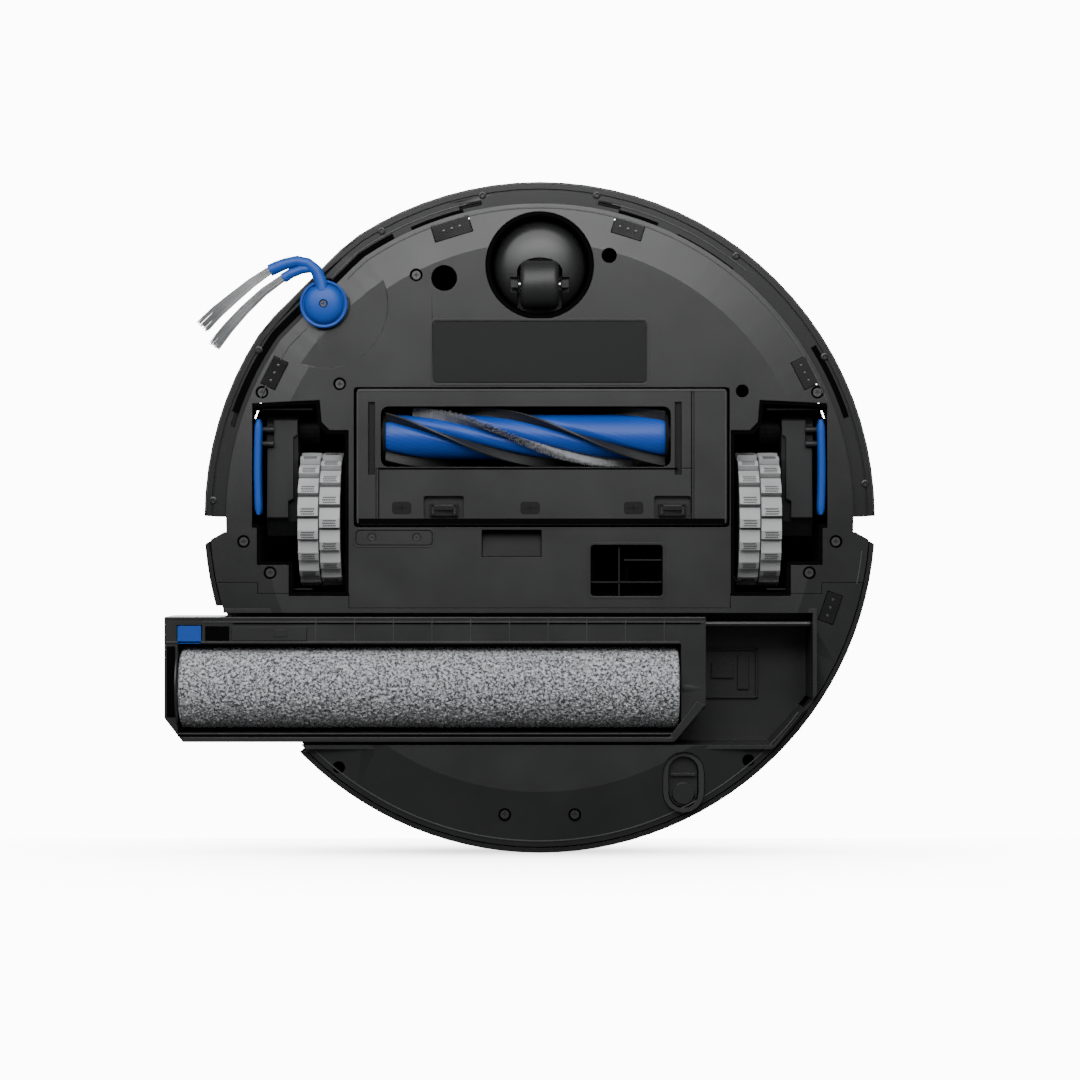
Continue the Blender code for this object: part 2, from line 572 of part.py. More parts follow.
solid("mop_core", DARK, turned_x([(-191.8, 2.9), (-188.6, 2.9), (-188.6, 17.4), (73.2, 17.4), (73.2, 2.9), (76.4, 2.9)], *MOP_AXIS, 28),
      at=(-57, *MOP_AXIS))
solid("mop_nap", NAP, cylinder_x(*MOP_AXIS, 22.0, -188.2, 72.8, 48), cut=[cylinder_x(*MOP_AXIS, 17.8, -200, 100, 28)],
      at=(-57, *MOP_AXIS))
solid("mop_motor", DARK, cylinder_x(60.5, 38, 5.2, 38.4, 84, 16), at=mop_at)
solid("mop_release_button", BLUE, prism(rounded(-189.0, -176.7, 56.8, 66.1, 0.6, 2), 8.0, 15.0), at=(-183, 61, 11))
solid("mop_screw", STEEL, cylinder_x(55.9, 22, 2.1, 30, 142.3, 12))

# Water port and drop sensors
solid("port_seal", DARK, prism(stadium(*PORT, 21.4, 31.8), 11.6, 15.4), cut=[prism(stadium(*PORT, 15.8, 27.4), 0, 30)])
solid("port_valve", BLACK, prism(stadium(*PORT, 14.8, 26.4), 15.6, 20.0),
      add=[cylinder(PORT[0], PORT[1] + 6, 5.6, 13.6, 18, 20), box(PORT[0] - 6.4, PORT[0] + 6.4, PORT[1] - 4.4, PORT[1] - 3.2, 13.4, 17)],
      at=(*PORT, 17))
for name, (x, y, length, width, turn) in cliff_sensors.items():
    z = skin_z(x, y) - 0.1
    solid(name, GLOSS, turned_box(x, y, length, width, turn, z, z + 3.4))

for helper in list(bpy.data.objects):
    if helper.type == "MESH" and helper.hide_render:
        bpy.data.objects.remove(helper, do_unlink=True)
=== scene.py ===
"""Looks of the robot vacuum. Lengths in the helpers are millimetres about the middle of the round body."""

import json
import math
import random

import bmesh
import bpy
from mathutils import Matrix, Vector, noise

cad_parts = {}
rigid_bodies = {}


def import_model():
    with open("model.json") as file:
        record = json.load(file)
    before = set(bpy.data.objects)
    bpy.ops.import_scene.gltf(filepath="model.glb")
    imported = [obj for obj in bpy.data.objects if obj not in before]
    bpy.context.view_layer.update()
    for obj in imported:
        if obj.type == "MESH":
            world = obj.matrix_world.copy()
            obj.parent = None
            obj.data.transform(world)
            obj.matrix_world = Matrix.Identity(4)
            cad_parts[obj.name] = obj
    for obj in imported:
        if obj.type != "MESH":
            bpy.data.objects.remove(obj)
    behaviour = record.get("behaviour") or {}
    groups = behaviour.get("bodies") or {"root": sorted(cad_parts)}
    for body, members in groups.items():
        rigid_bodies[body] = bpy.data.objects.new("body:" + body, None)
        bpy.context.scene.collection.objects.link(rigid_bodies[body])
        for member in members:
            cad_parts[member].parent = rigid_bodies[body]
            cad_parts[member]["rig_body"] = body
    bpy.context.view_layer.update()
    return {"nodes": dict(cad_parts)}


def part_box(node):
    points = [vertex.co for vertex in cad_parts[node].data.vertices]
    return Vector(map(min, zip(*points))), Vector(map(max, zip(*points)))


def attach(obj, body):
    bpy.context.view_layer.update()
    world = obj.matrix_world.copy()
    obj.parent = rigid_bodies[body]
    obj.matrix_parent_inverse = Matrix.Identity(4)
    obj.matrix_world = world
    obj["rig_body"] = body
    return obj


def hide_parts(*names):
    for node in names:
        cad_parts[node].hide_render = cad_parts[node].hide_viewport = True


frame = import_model()
random.seed(7)

low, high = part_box("base_plate")
OX = (low[0] + high[0]) / 2
MM = 0.001
TAU = 2 * math.pi
FACET = math.radians(225)  # the way the bumper's flat corner faces
FACET_IN = 2.7  # how far that flat lies inside the round outline
# Axes as (x, y) where they stand upright, and as (y, z) where they run along X.
SIDE_BRUSH = (-112.6, -111.0)
CASTER = (0.0, -131.6)
AXLE = (-121.7, 12.5)
BRUSH = (-41.9, 18.0)
MOP = (89.5, 22.2)
WHEEL = (1.0, 35.5)
BASE_SCREWS = [
    (-64.5, -126.4), (-104.5, -69.5), (145.3, -65.3), (-145.3, -65.3), (154.9, 12.8), (-154.9, 12.8),
    (140.8, 29.1), (-140.8, 29.1), (18.3, 155.6), (-18.3, 155.6)
]
nodes = frame["nodes"]

# ---------------------------------------------------------------- camera
camera = bpy.data.objects.new("camera", bpy.data.cameras.new("camera"))
bpy.context.scene.collection.objects.link(camera)
bpy.context.scene.camera = camera
camera.data.sensor_width = 36
camera.data.lens = 100
DISTANCE = 0.5641 * 100 / 36
camera.location = (OX + 0.00015, 0.0120, 0.010 - DISTANCE)
camera.rotation_euler = (math.pi, 0, 0)
camera.data.clip_end = 50


# ---------------------------------------------------------------- materials
def new_material(name):
    made = bpy.data.materials.new(name)
    made.use_nodes = True
    return made, made.node_tree, made.node_tree.nodes["Principled BSDF"]


def mix_colour(tree, factor, one, two):
    ramp = tree.nodes.new("ShaderNodeValToRGB")
    ramp.color_ramp.elements[0].color = (*one, 1)
    ramp.color_ramp.elements[1].color = (*two, 1)
    tree.links.new(factor, ramp.inputs["Fac"])
    return ramp


def plastic(name, colour, rough=0.45, vary=0.12, grain=2600, bump=0.06, specular=0.5, coat=0.0, edge=0.3):
    """Moulded plastic: fine spark-eroded grain, slight cloudy colour and gloss variation."""
    made, tree, shader = new_material(name)
    where = tree.nodes.new("ShaderNodeTexCoord")
    cloud = tree.nodes.new("ShaderNodeTexNoise")
    cloud.inputs["Scale"].default_value = 38
    cloud.inputs["Detail"].default_value = 5
    fine = tree.nodes.new("ShaderNodeTexNoise")
    fine.inputs["Scale"].default_value = grain
    fine.inputs["Detail"].default_value = 2
    for texture in (cloud, fine):
        tree.links.new(where.outputs["Object"], texture.inputs["Vector"])
    ramp = mix_colour(
        tree, cloud.outputs["Fac"], [c * (1 - vary) for c in colour], [c * (1 + vary) for c in colour]
    )
    ramp.color_ramp.elements[0].position = 0.3
    ramp.color_ramp.elements[1].position = 0.7
    tree.links.new(ramp.outputs["Color"], shader.inputs["Base Color"])
    spread = tree.nodes.new("ShaderNodeMapRange")
    spread.inputs["To Min"].default_value = max(0.05, rough - 0.07)
    spread.inputs["To Max"].default_value = min(1, rough + 0.07)
    tree.links.new(cloud.outputs["Fac"], spread.inputs["Value"])
    tree.links.new(spread.outputs["Result"], shader.inputs["Roughness"])
    relief = tree.nodes.new("ShaderNodeBump")
    relief.inputs["Strength"].default_value = bump
    relief.inputs["Distance"].default_value = 0.0002
    tree.links.new(fine.outputs["Fac"], relief.inputs["Height"])
    if edge:
        soft = tree.nodes.new("ShaderNodeBevel")
        soft.samples = 4
        soft.inputs["Radius"].default_value = edge * MM
        tree.links.new(soft.outputs["Normal"], relief.inputs["Normal"])
    tree.links.new(relief.outputs["Normal"], shader.inputs["Normal"])
    shader.inputs["Specular IOR Level"].default_value = specular
    shader.inputs["Coat Weight"].default_value = coat
    return made


BASE = plastic("base_plastic", (0.0178, 0.0181, 0.0186), 0.38, specular=0.45)
REAR = plastic("rear_plastic", (0.0155, 0.016, 0.0165), 0.44, specular=0.4)
SATIN = plastic("satin_plastic", (0.015, 0.0155, 0.016), 0.36)
# Lighter than the body plastic: painted highlight for the thin lines along edges, rims and ribs.
EDGE_HIGHLIGHT = plastic("edge_highlight_plastic", (0.042, 0.043, 0.044), 0.34)
# Darker than the body plastic: partly the real dark plastic of inner parts, partly painted shade on
# recessed pieces such as floors, webs, ramps, latches and vents.
DEEP_DARK_AND_SHADE = plastic("dark_and_shade_plastic", (0.0045, 0.0045, 0.005), 0.6, specular=0.25)
# Near-black, matt and without gloss: painted shade, put on housings, sockets, wells, grooves and gaps so
# they read as shadowed hollows.
PAINTED_SHADE = plastic("shadow_plastic", (0.0012, 0.0012, 0.0013), 0.9, bump=0.0, specular=0.05, edge=0)
PANEL = plastic("panel_plastic", (0.014, 0.0145, 0.015), 0.5, specular=0.35)
GLOSSY = plastic("gloss_plastic", (0.006, 0.006, 0.007), 0.12, grain=400, bump=0.0, coat=0.4)
SHELL = plastic("shell_plastic", (0.0095, 0.0098, 0.0102), 0.36, grain=3400, bump=0.04, specular=0.35)
BLUE = plastic("blue_plastic", (0.008, 0.066, 0.35), 0.4, vary=0.06, specular=0.3)
BLUE_RUBBER = plastic("blue_rubber", (0.006, 0.055, 0.33), 0.42, vary=0.08, specular=0.35, edge=0)
RUBBER = plastic("dark_rubber", (0.014, 0.0145, 0.015), 0.5, grain=1800, bump=0.12, edge=0.2)
TYRE = plastic(
    "tyre_rubber", (0.36, 0.365, 0.37), 0.6, vary=0.08, grain=1500, bump=0.2, specular=0.3, edge=0.15
)
# Far darker than the tyre rubber: painted shade for the valleys between the lugs and the dots of the knurl.
TREAD_SHADE = plastic("tyre_valley_shade", (0.09, 0.092, 0.094), 0.7, grain=1500, bump=0.2, specular=0.2)
BRISTLE = plastic("bristle_nylon", (0.27, 0.275, 0.28), 0.5, vary=0.45, grain=900, edge=0)
LABEL = plastic("label_film", (0.0100, 0.0104, 0.0108), 0.62, grain=1400, specular=0.22)
WINDOW = plastic("sensor_window", (0.006, 0.006, 0.007), 0.2, grain=400, bump=0.0, edge=0.2)
LENS = plastic("sensor_lens", (0.03, 0.03, 0.034), 0.2, grain=400, bump=0.0)
BOARD = plastic("board_mask", (0.02, 0.11, 0.05), 0.4)
TANK = plastic("smoked_tank", (0.045, 0.05, 0.055), 0.15, bump=0.0, coat=0.5)
ICON = plastic("icon_relief", (0.006, 0.006, 0.0065), 0.6, specular=0.2)


def metal(name, colour, rough):
    made, tree, shader = new_material(name)
    where = tree.nodes.new("ShaderNodeTexCoord")
    streak = tree.nodes.new("ShaderNodeTexNoise")
    streak.inputs["Scale"].default_value = 900
    tree.links.new(where.outputs["Object"], streak.inputs["Vector"])
    ramp = mix_colour(tree, streak.outputs["Fac"], [c * 0.8 for c in colour], colour)
    tree.links.new(ramp.outputs["Color"], shader.inputs["Base Color"])
    shader.inputs["Metallic"].default_value = 1
    shader.inputs["Roughness"].default_value = rough
    return made


STEEL = metal("bright_steel", (0.6, 0.6, 0.61), 0.28)
SCREW = metal("black_screw", (0.10, 0.10, 0.105), 0.38)


def pile(name):
    """The mop's looped pile: light and dark yarns side by side."""
    made, tree, shader = new_material(name)
    where = tree.nodes.new("ShaderNodeTexCoord")
    speck = tree.nodes.new("ShaderNodeTexNoise")
    speck.inputs["Scale"].default_value = 700
    speck.inputs["Detail"].default_value = 3
    speck.inputs["Roughness"].default_value = 0.7
    strand = tree.nodes.new("ShaderNodeTexVoronoi")
    strand.inputs["Scale"].default_value = 1000
    for texture in (speck, strand):
        tree.links.new(where.outputs["Object"], texture.inputs["Vector"])
    ramp = mix_colour(tree, speck.outputs["Fac"], (0.035, 0.037, 0.041), (0.60, 0.615, 0.64))
    ramp.color_ramp.elements[0].position = 0.41
    ramp.color_ramp.elements[1].position = 0.60
    tree.links.new(ramp.outputs["Color"], shader.inputs["Base Color"])
    relief = tree.nodes.new("ShaderNodeBump")
    relief.inputs["Strength"].default_value = 0.9
    relief.inputs["Distance"].default_value = 0.0008
    tree.links.new(strand.outputs["Distance"], relief.inputs["Height"])
    tree.links.new(relief.outputs["Normal"], shader.inputs["Normal"])
    shader.inputs["Roughness"].default_value = 0.95
    shader.inputs["Sheen Weight"].default_value = 0.4
    return made


NAP = pile("mop_pile")


# ---------------------------------------------------------------- mesh helpers
def rim(r, a):
    """The outline's radius at the angle a: r, or less where the flat corner cuts it."""
    c = math.cos(a - FACET)
    return min(r, (r - FACET_IN) / c) if c > 0.9 and r > 150 else r


def polar(r, degrees):
    """The (x, y) place at a radius and an angle, drawn in along the flat corner."""
    a = math.radians(degrees)
    q = rim(r, a)
    return (q * math.cos(a), q * math.sin(a))


def circle(cx, cy, r, n=24, turn=0.0):
    return [
        (cx + r * math.cos(TAU * (i + turn) / n), cy + r * math.sin(TAU * (i + turn) / n))
        for i in range(n)
    ]


def rounded(x0, x1, y0, y1, r, n=5):
    points = []
    for cx, cy, start in (
        (x1 - r, y1 - r, 0), (x0 + r, y1 - r, 90), (x0 + r, y0 + r, 180), (x1 - r, y0 + r, 270)
    ):
        for i in range(n + 1):
            a = math.radians(start + 90 * i / n)
            points.append((cx + r * math.cos(a), cy + r * math.sin(a)))
    return points


class Build:
    """Collects shapes, then makes one piece from them."""

    def __init__(self):
        self.points = []
        self.faces = []

    def add(self, points, faces):
        start = len(self.points)
        self.points += [tuple(p) for p in points]
        self.faces += [tuple(start + i for i in face) for face in faces]
        return self

    def loft(self, sections, caps=True, closed=False):
        n = len(sections[0])
        points = [p for section in sections for p in section]
        faces = []
        for i in range(len(sections) if closed else len(sections) - 1):
            k = (i + 1) % len(sections)
            for j in range(n):
                m = (j + 1) % n
                faces.append((i * n + j, i * n + m, k * n + m, k * n + j))
        if caps and not closed:
            faces.append(tuple(range(n))[::-1])
            faces.append(tuple((len(sections) - 1) * n + j for j in range(n)))
        return self.add(points, faces)

    def prism(self, outline, z0, z1, inset=0.0):
        """An outline drawn out along Z. inset chamfers the lower edge by that much."""
        sections = [(z0, inset), (z0 + inset, 0.0), (z1, 0.0)] if inset else [(z0, 0.0), (z1, 0.0)]
        cx = sum(p[0] for p in outline) / len(outline)
        cy = sum(p[1] for p in outline) / len(outline)
        rings = []
        for z, d in sections:
            ring = []
            for x, y in outline:
                away = Vector((x - cx, y - cy))
                away = away - away.normalized() * d * 1.2 if away.length > d else away
                ring.append((cx + away.x, cy + away.y, z))
            rings.append(ring)
        return self.loft(rings)

    def box(self, x0, x1, y0, y1, z0, z1):
        return self.loft([[(x0, y0, z), (x1, y0, z), (x1, y1, z), (x0, y1, z)] for z in (z0, z1)])

    def turned_box(self, cx, cy, length, width, degrees, z0, z1):
        a = math.radians(degrees)
        ring = []
        for u, v in ((-1, -1), (1, -1), (1, 1), (-1, 1)):
            x, y = u * length / 2, v * width / 2
            ring.append((cx + x * math.cos(a) - y * math.sin(a), cy + x * math.sin(a) + y * math.cos(a)))
        return self.loft([[(x, y, z) for x, y in ring] for z in (z0, z1)])

    def cyl(self, cx, cy, r, z0, z1, n=24):
        return self.loft([[(x, y, z) for x, y in circle(cx, cy, r, n)] for z in (z0, z1)])

    def lathe(self, profile, cx, cy, n=48, caps=True, closed=False):
        sections = [[(x, y, z) for x, y in circle(cx, cy, r, n)] for r, z in profile]
        return self.loft(sections, caps, closed)

    def lathe_x(self, profile, cy, cz, n=48, caps=True, closed=False):
        sections = [[(x, y, z) for y, z in circle(cy, cz, r, n)] for x, r in profile]
        return self.loft(sections, caps, closed)

    def tube(self, path, radii, n=10, squash=1.0):
        """A round tube along a path of 3-D points. squash flattens it in Z."""
        sections = []
        for i, p in enumerate(path):
            ahead = (Vector(path[min(i + 1, len(path) - 1)]) - Vector(path[max(i - 1, 0)])).normalized()
            side = ahead.cross(Vector((0, 0, 1))).normalized()
            up = side.cross(ahead)
            r = radii[i] if isinstance(radii, (list, tuple)) else radii
            ring = []
            for j in range(n):
                a = TAU * j / n
                q = Vector(p) + side * r * math.cos(a) + up * r * squash * math.sin(a)
                ring.append(tuple(q))
            sections.append(ring)
        return self.loft(sections)

    def arc_bar(self, r0, r1, a0, a1, z0, z1, n=40):
        """A curved bar between two radii that follows the body's outline."""
        sections = []
        for i in range(n + 1):
            a = a0 + (a1 - a0) * i / n
            (x0, y0), (x1, y1) = polar(r0, a), polar(r1, a)
            sections.append([(x0, y0, z0), (x1, y1, z0), (x1, y1, z1), (x0, y0, z1)])
        return self.loft(sections)

    def make(self, name, material, body, bevel=0.0, angle=35, segments=2):
        mesh = bpy.data.meshes.new(name)
        mesh.from_pydata([(x * MM + OX, y * MM, z * MM) for x, y, z in self.points], [], self.faces)
        bm = bmesh.new()
        bm.from_mesh(mesh)
        bmesh.ops.recalc_face_normals(bm, faces=bm.faces)
        bm.to_mesh(mesh)
        bm.free()
        mesh.shade_smooth()
        mesh.set_sharp_from_angle(angle=math.radians(angle))
        mesh.materials.append(material)
        obj = bpy.data.objects.new(name, mesh)
        bpy.context.scene.collection.objects.link(obj)
        if bevel:
            add_bevel(obj, bevel, angle, segments)
        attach(obj, body)
        return obj


def add_bevel(obj, width, angle=35, segments=2):
    step = obj.modifiers.new("edges", "BEVEL")
    step.width = width * MM
    step.segments = segments
    step.limit_method = "ANGLE"
    step.angle_limit = math.radians(angle)
    step.harden_normals = True
    step.use_clamp_overlap = True


def refine(node, material, angle=9):
    """A copy of a CAD node shaded smoothly over its curved faces, shown in its place."""
    source = nodes[node]
    bm = bmesh.new()
    bm.from_mesh(source.data)
    bmesh.ops.remove_doubles(bm, verts=bm.verts, dist=2e-6)
    bmesh.ops.recalc_face_normals(bm, faces=bm.faces)
    mesh = bpy.data.meshes.new(node + "_skin")
    bm.to_mesh(mesh)
    bm.free()
    mesh.shade_smooth()
    mesh.set_sharp_from_angle(angle=math.radians(angle))
    mesh.materials.clear()
    mesh.materials.append(material)
    obj = bpy.data.objects.new(node + "_skin", mesh)
    bpy.context.scene.collection.objects.link(obj)
    step = obj.modifiers.new("normals", "WEIGHTED_NORMAL")
    step.keep_sharp = True
    step.weight = 80
    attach(obj, source["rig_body"])
    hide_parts(node)
    return obj


def carve(build, cutters):
    """The mesh of build with the shapes of the cutters taken out of it, as points and faces."""
    made = []
    for shape in (build, *cutters):
        mesh = bpy.data.meshes.new("temporary")
        mesh.from_pydata(shape.points, [], shape.faces)
        bm = bmesh.new()
        bm.from_mesh(mesh)
        bmesh.ops.recalc_face_normals(bm, faces=bm.faces)
        bm.to_mesh(mesh)
        bm.free()
        obj = bpy.data.objects.new("temporary", mesh)
        bpy.context.scene.collection.objects.link(obj)
        made.append(obj)
    for cutter in made[1:]:
        step = made[0].modifiers.new("cut", "BOOLEAN")
        step.operation = "DIFFERENCE"
        step.solver = "EXACT"
        step.object = cutter
    bpy.context.view_layer.update()
    evaluated = made[0].evaluated_get(bpy.context.evaluated_depsgraph_get())
    mesh = evaluated.to_mesh()
    result = Build().add([tuple(v.co) for v in mesh.vertices], [tuple(p.vertices) for p in mesh.polygons])
    evaluated.to_mesh_clear()
    for obj in made:
        data = obj.data
        bpy.data.objects.remove(obj, do_unlink=True)
        bpy.data.meshes.remove(data)
    return result


FLAT_Z = 9.5
SLOPE_FROM_R = 143.6
SLOPE_RISE, SLOPE_RUN = 5.3, 29.2


def skin_z(x, y):
    """The height of the base plate's underside: flat, then a slope towards the rim."""
    r = math.hypot(x, y)
    return FLAT_Z + max(0.0, r - SLOPE_FROM_R) * SLOPE_RISE / SLOPE_RUN


# ---------------------------------------------------------------- CAD pieces that keep their shape
def smoothing_angle(node):
    """Edges sharper than this many degrees stay sharp."""
    if node in ("caster_wheel", "brush_core", "mop_core"):
        return 30
    if node.endswith(("shell", "deck", "cover", "housing", "socket")):
        return 20
    return 4


# Housings, sockets, the dust bin, the gearbox and the side brush motor take the near-black painted shade.
for node, surface in (
    ("base_plate", BASE), ("rear_base", REAR), ("side_shell", SHELL), (
        "bumper_shell", SHELL
    ), ("top_deck", SHELL),
    ("top_cover", GLOSSY), (
        "power_button", SATIN
    ), ("label_plate", LABEL), ("hatch_plate", BASE), ("brush_housing", PAINTED_SHADE),
    ("brush_guard", BASE), ("caster_socket", PAINTED_SHADE), ("left_wheel_housing", PAINTED_SHADE), (
        "right_wheel_housing", PAINTED_SHADE
    ),
    ("left_gear_case", DEEP_DARK_AND_SHADE), ("right_gear_case", DEEP_DARK_AND_SHADE),
    ("mop_carrier", SATIN), (
        "mop_release_button", BLUE
    ), ("guard_latch_left", DEEP_DARK_AND_SHADE), ("guard_latch_right", DEEP_DARK_AND_SHADE),
    ("port_seal", RUBBER), ("port_valve", SATIN), ("bumper_window", WINDOW), ("dust_bin", PAINTED_SHADE), (
        "dock_contact_left", STEEL
    ),
    (
        "dock_contact_right", STEEL
    ), ("brush_core", DEEP_DARK_AND_SHADE), ("brush_motor", DEEP_DARK_AND_SHADE), ("brush_gearbox", PAINTED_SHADE), ("battery_pack", BLUE),
    ("suction_fan", DEEP_DARK_AND_SHADE), (
        "clean_water_tank", TANK
    ), ("water_pump", DEEP_DARK_AND_SHADE), ("side_brush_motor", PAINTED_SHADE), ("caster_axle", STEEL),
    ("left_wheel_hub", DEEP_DARK_AND_SHADE), (
        "right_wheel_hub", DEEP_DARK_AND_SHADE
    ), ("mop_core", DEEP_DARK_AND_SHADE), ("mop_motor", DEEP_DARK_AND_SHADE), ("mop_screw", SCREW),
    ("caster_wheel", RUBBER), ("left_spring", STEEL), ("right_spring", STEEL), ("main_board", BOARD),
):
    if node.endswith(("spring", "board")):
        nodes[node].data.materials.clear()
        nodes[node].data.materials.append(surface)
    else:
        refine(node, surface, smoothing_angle(node))
for node in [n for n in nodes if n.startswith("cliff_sensor")]:
    nodes[node].data.materials.clear()
    nodes[node].data.materials.append(WINDOW)


# ---------------------------------------------------------------- screws
def screw(name, x, y, z, body, r=2.6, surface=SCREW):
    """A countersunk screw whose head faces down, with a cross recess."""
    star = []
    for i in range(24):
        a = TAU * i / 24
        q = r * (0.30 + 0.28 * max(0.0, math.cos(4 * a)) ** 0.8)
        star.append((x + q * math.cos(a), y + q * math.sin(a)))
    head = [(r * 0.86, z), (r, z + 0.35), (r, z + 1.2)]
    build = Build()
    rings = [[(px, py, z + 1.0) for px, py in star], [(px, py, z) for px, py in star]]
    rings += [[(px, py, h) for px, py in circle(x, y, q, 24)] for q, h in head]
    build.loft(rings)
    return build.make(name, surface, body, angle=30)


for i, (x, y) in enumerate(BASE_SCREWS):
    screw(f"base_screw_{i + 1}", x, y, skin_z(x, y) + 0.9, "chassis", 2.6)
    # A near-black ring in each screw's well: painted shade.
    well = Build()
    z = skin_z(x, y)
    well.lathe(
        [
            (3.35, z + 0.05), (3.35, z + 1.45), (2.0, z + 1.45), (2.0, z + 1.3), (3.1, z + 1.3),
            (3.1, z + 0.05)
        ],
        x, y, 28, closed=True
    )
    well.make(f"screw_well_shade_{i + 1}", PAINTED_SHADE, "chassis")
for i, x in enumerate((-87.7, -64.2)):
    screw(f"hatch_screw_{i + 1}", x, 10.7, 9.2, "chassis", 2.0)

# ---------------------------------------------------------------- mop pile
STEPS_X, STEPS_A = ((470, 190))
NAP_R, NAP_MOST_R = 20.75, 21.95


def nap_mesh():
    points, faces = [], []
    x0, x1 = -188.1, 72.7
    for i in range(STEPS_X + 1):
        x = x0 + (x1 - x0) * i / STEPS_X
        edge = min(1.0, min(x - x0, x1 - x) / 0.9)
        for j in range(STEPS_A):
            a = TAU * j / STEPS_A
            p = Vector((x, 21 * math.cos(a), 21 * math.sin(a)))
            lump = noise.noise(p * 0.3) * 0.25
            tuft = noise.noise(p * 1.1) * 0.7 + noise.noise(p * 2.3 + Vector((9, 4, 2))) * 0.75
            r = NAP_R + lump + tuft - (1 - edge) ** 2 * 1.2
            r = min(r, NAP_MOST_R)
            points.append((x, MOP[0] + r * math.cos(a), MOP[1] + r * math.sin(a)))
    for i in range(STEPS_X):
        for j in range(STEPS_A):
            k = (j + 1) % STEPS_A
            faces.append((i * STEPS_A + j, i * STEPS_A + k, (i + 1) * STEPS_A + k, (i + 1) * STEPS_A + j))
    faces.append(tuple(range(STEPS_A))[::-1])
    faces.append(tuple(STEPS_X * STEPS_A + j for j in range(STEPS_A)))
    return points, faces


nap = Build().add(*nap_mesh()).make("mop_pile_roller", NAP, "mop_roller", angle=180)
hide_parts("mop_nap")

# ---------------------------------------------------------------- main brush
X0, X1 = -80.4, 65.6
TWIST = 4.35
FLAPS = (-0.70, -2.56, -4.65)
STRIPS = (-3.52,)
# A flap's section, as radius and angle round the brush.
FLAP_SECTION = (
    (9.0, -0.13), (12.2, -0.05), (15.55, 0.02), (15.72, 0.05), (15.6, 0.085), (12.0, 0.10), (9.0, 0.20)
)


def on_brush(x, r, a):
    return (x, BRUSH[0] + r * math.cos(a), BRUSH[1] + r * math.sin(a))


sleeve = Build()
sections = []
for i in range(81):
    t = i / 80
    ring = []
    for j in range(96):
        a = TAU * j / 96
        r = 11.3
        for start in FLAPS + STRIPS:
            near = abs((a - start - TWIST * t + math.pi) % TAU - math.pi)
            r -= 1.9 * math.exp(-((near / 0.20) ** 2))
        r += 0.16 * math.cos(34 * (a - TWIST * t))
        if 0.0 < t < 1.0:
            r += 0.5
        ring.append(on_brush(X0 + (X1 - X0) * t, r, a))
    sections.append(ring)
sleeve.loft(sections)
sleeve = sleeve.make("brush_blue_body", BLUE_RUBBER, "main_brush", angle=50)
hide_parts("brush_sleeve")
flaps = Build()
for start in FLAPS:
    sections = []
    for i in range(91):
        t = i / 90
        x = X0 + (X1 - X0) * t
        a = start + TWIST * t
        sections.append([on_brush(x, r, a + d) for r, d in FLAP_SECTION])
    flaps.loft(sections)
flaps.make("brush_flaps", RUBBER, "main_brush", angle=50)
hair = Build()
rows = 420
for start in STRIPS:
    for i in range(rows):
        t = 0.095 + 0.89 * (i + 0.5) / rows
        x = X0 + (X1 - X0) * t
        for k in range(3):
            a = start + TWIST * t + 0.09 * (k - 1) + random.uniform(-0.02, 0.02)
            lean = random.uniform(-0.05, 0.05)
            w = 0.012
            xx = x + random.uniform(-0.15, 0.15)
            tip = random.uniform(15.0, 15.75)
            rings = []
            for r, half, slide in ((9.0, 0.15, 0.0), (12.5, 0.14, 0.4 * lean), (tip, 0.07, lean)):
                rings.append(
                    [
                        on_brush(xx + 3 * slide + u * half, r, a + v * w + slide)
                        for u, v in ((-1, -1), (1, -1), (1, 1), (-1, 1))
                    ]
                )
            hair.loft(rings)
hair = hair.make("brush_bristles", BRISTLE, "main_brush")
ends = Build()
ends.lathe_x([(X0 - 1.6, 4.0), (X0 - 1.6, 11.6), (X0 - 0.1, 12.4), (X0 - 0.1, 4.0)], *BRUSH, 40)
ends.lathe_x([(X1 + 1.6, 4.0), (X1 + 1.6, 12.6), (X1 + 0.1, 13.4), (X1 + 0.1, 4.0)], *BRUSH, 40)
ends.make("brush_end_caps", DEEP_DARK_AND_SHADE, "main_brush")

# ---------------------------------------------------------------- side brush
sx, sy = SIDE_BRUSH
hub = Build()
hub.lathe(
    [
        (2.0, 4.7), (2.3, 3.75), (5.4, 3.95), (7.8, 4.6), (9.4, 5.6), (10.3, 6.9), (10.5, 7.6), (10.9, 7.6),
        (11.2, 6.4), (11.9, 6.2), (12.5, 6.7), (12.5, 8.0), (11.6, 8.8), (9, 10.7)
    ],
    sx, sy, 64
)
MAIN_ARM = [
    (-113.4, -118.0), (-114.2, -123.0), (-116.6, -128.6), (-121.0, -132.2), (-126.5, -133.3),
    (-132.5, -132.0), (-137.0, -130.2), (-140.8, -128.4)
]
hub.tube([(x, y, 6.7) for x, y in MAIN_ARM], [3.5, 3.3, 3.1, 3.0, 3.0, 3.0, 3.2, 3.2], 14, 0.74)
hub.tube(
    [(-119.5, -129.5, 6.6), (-124.0, -129.0, 6.6), (-129.5, -127.0, 6.6), (-133.8, -124.3, 6.6)],
    [2.2, 2.3, 2.6, 2.7], 12, 0.74
)
hub.cyl(sx, sy, 2.3, 10, 19.4)
hub = hub.make("side_brush_moulding", BLUE, "side_brush", angle=40)
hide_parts("side_brush_hub")
screw("side_brush_screw", sx, sy, 3.9, "side_brush", 1.9, SCREW)


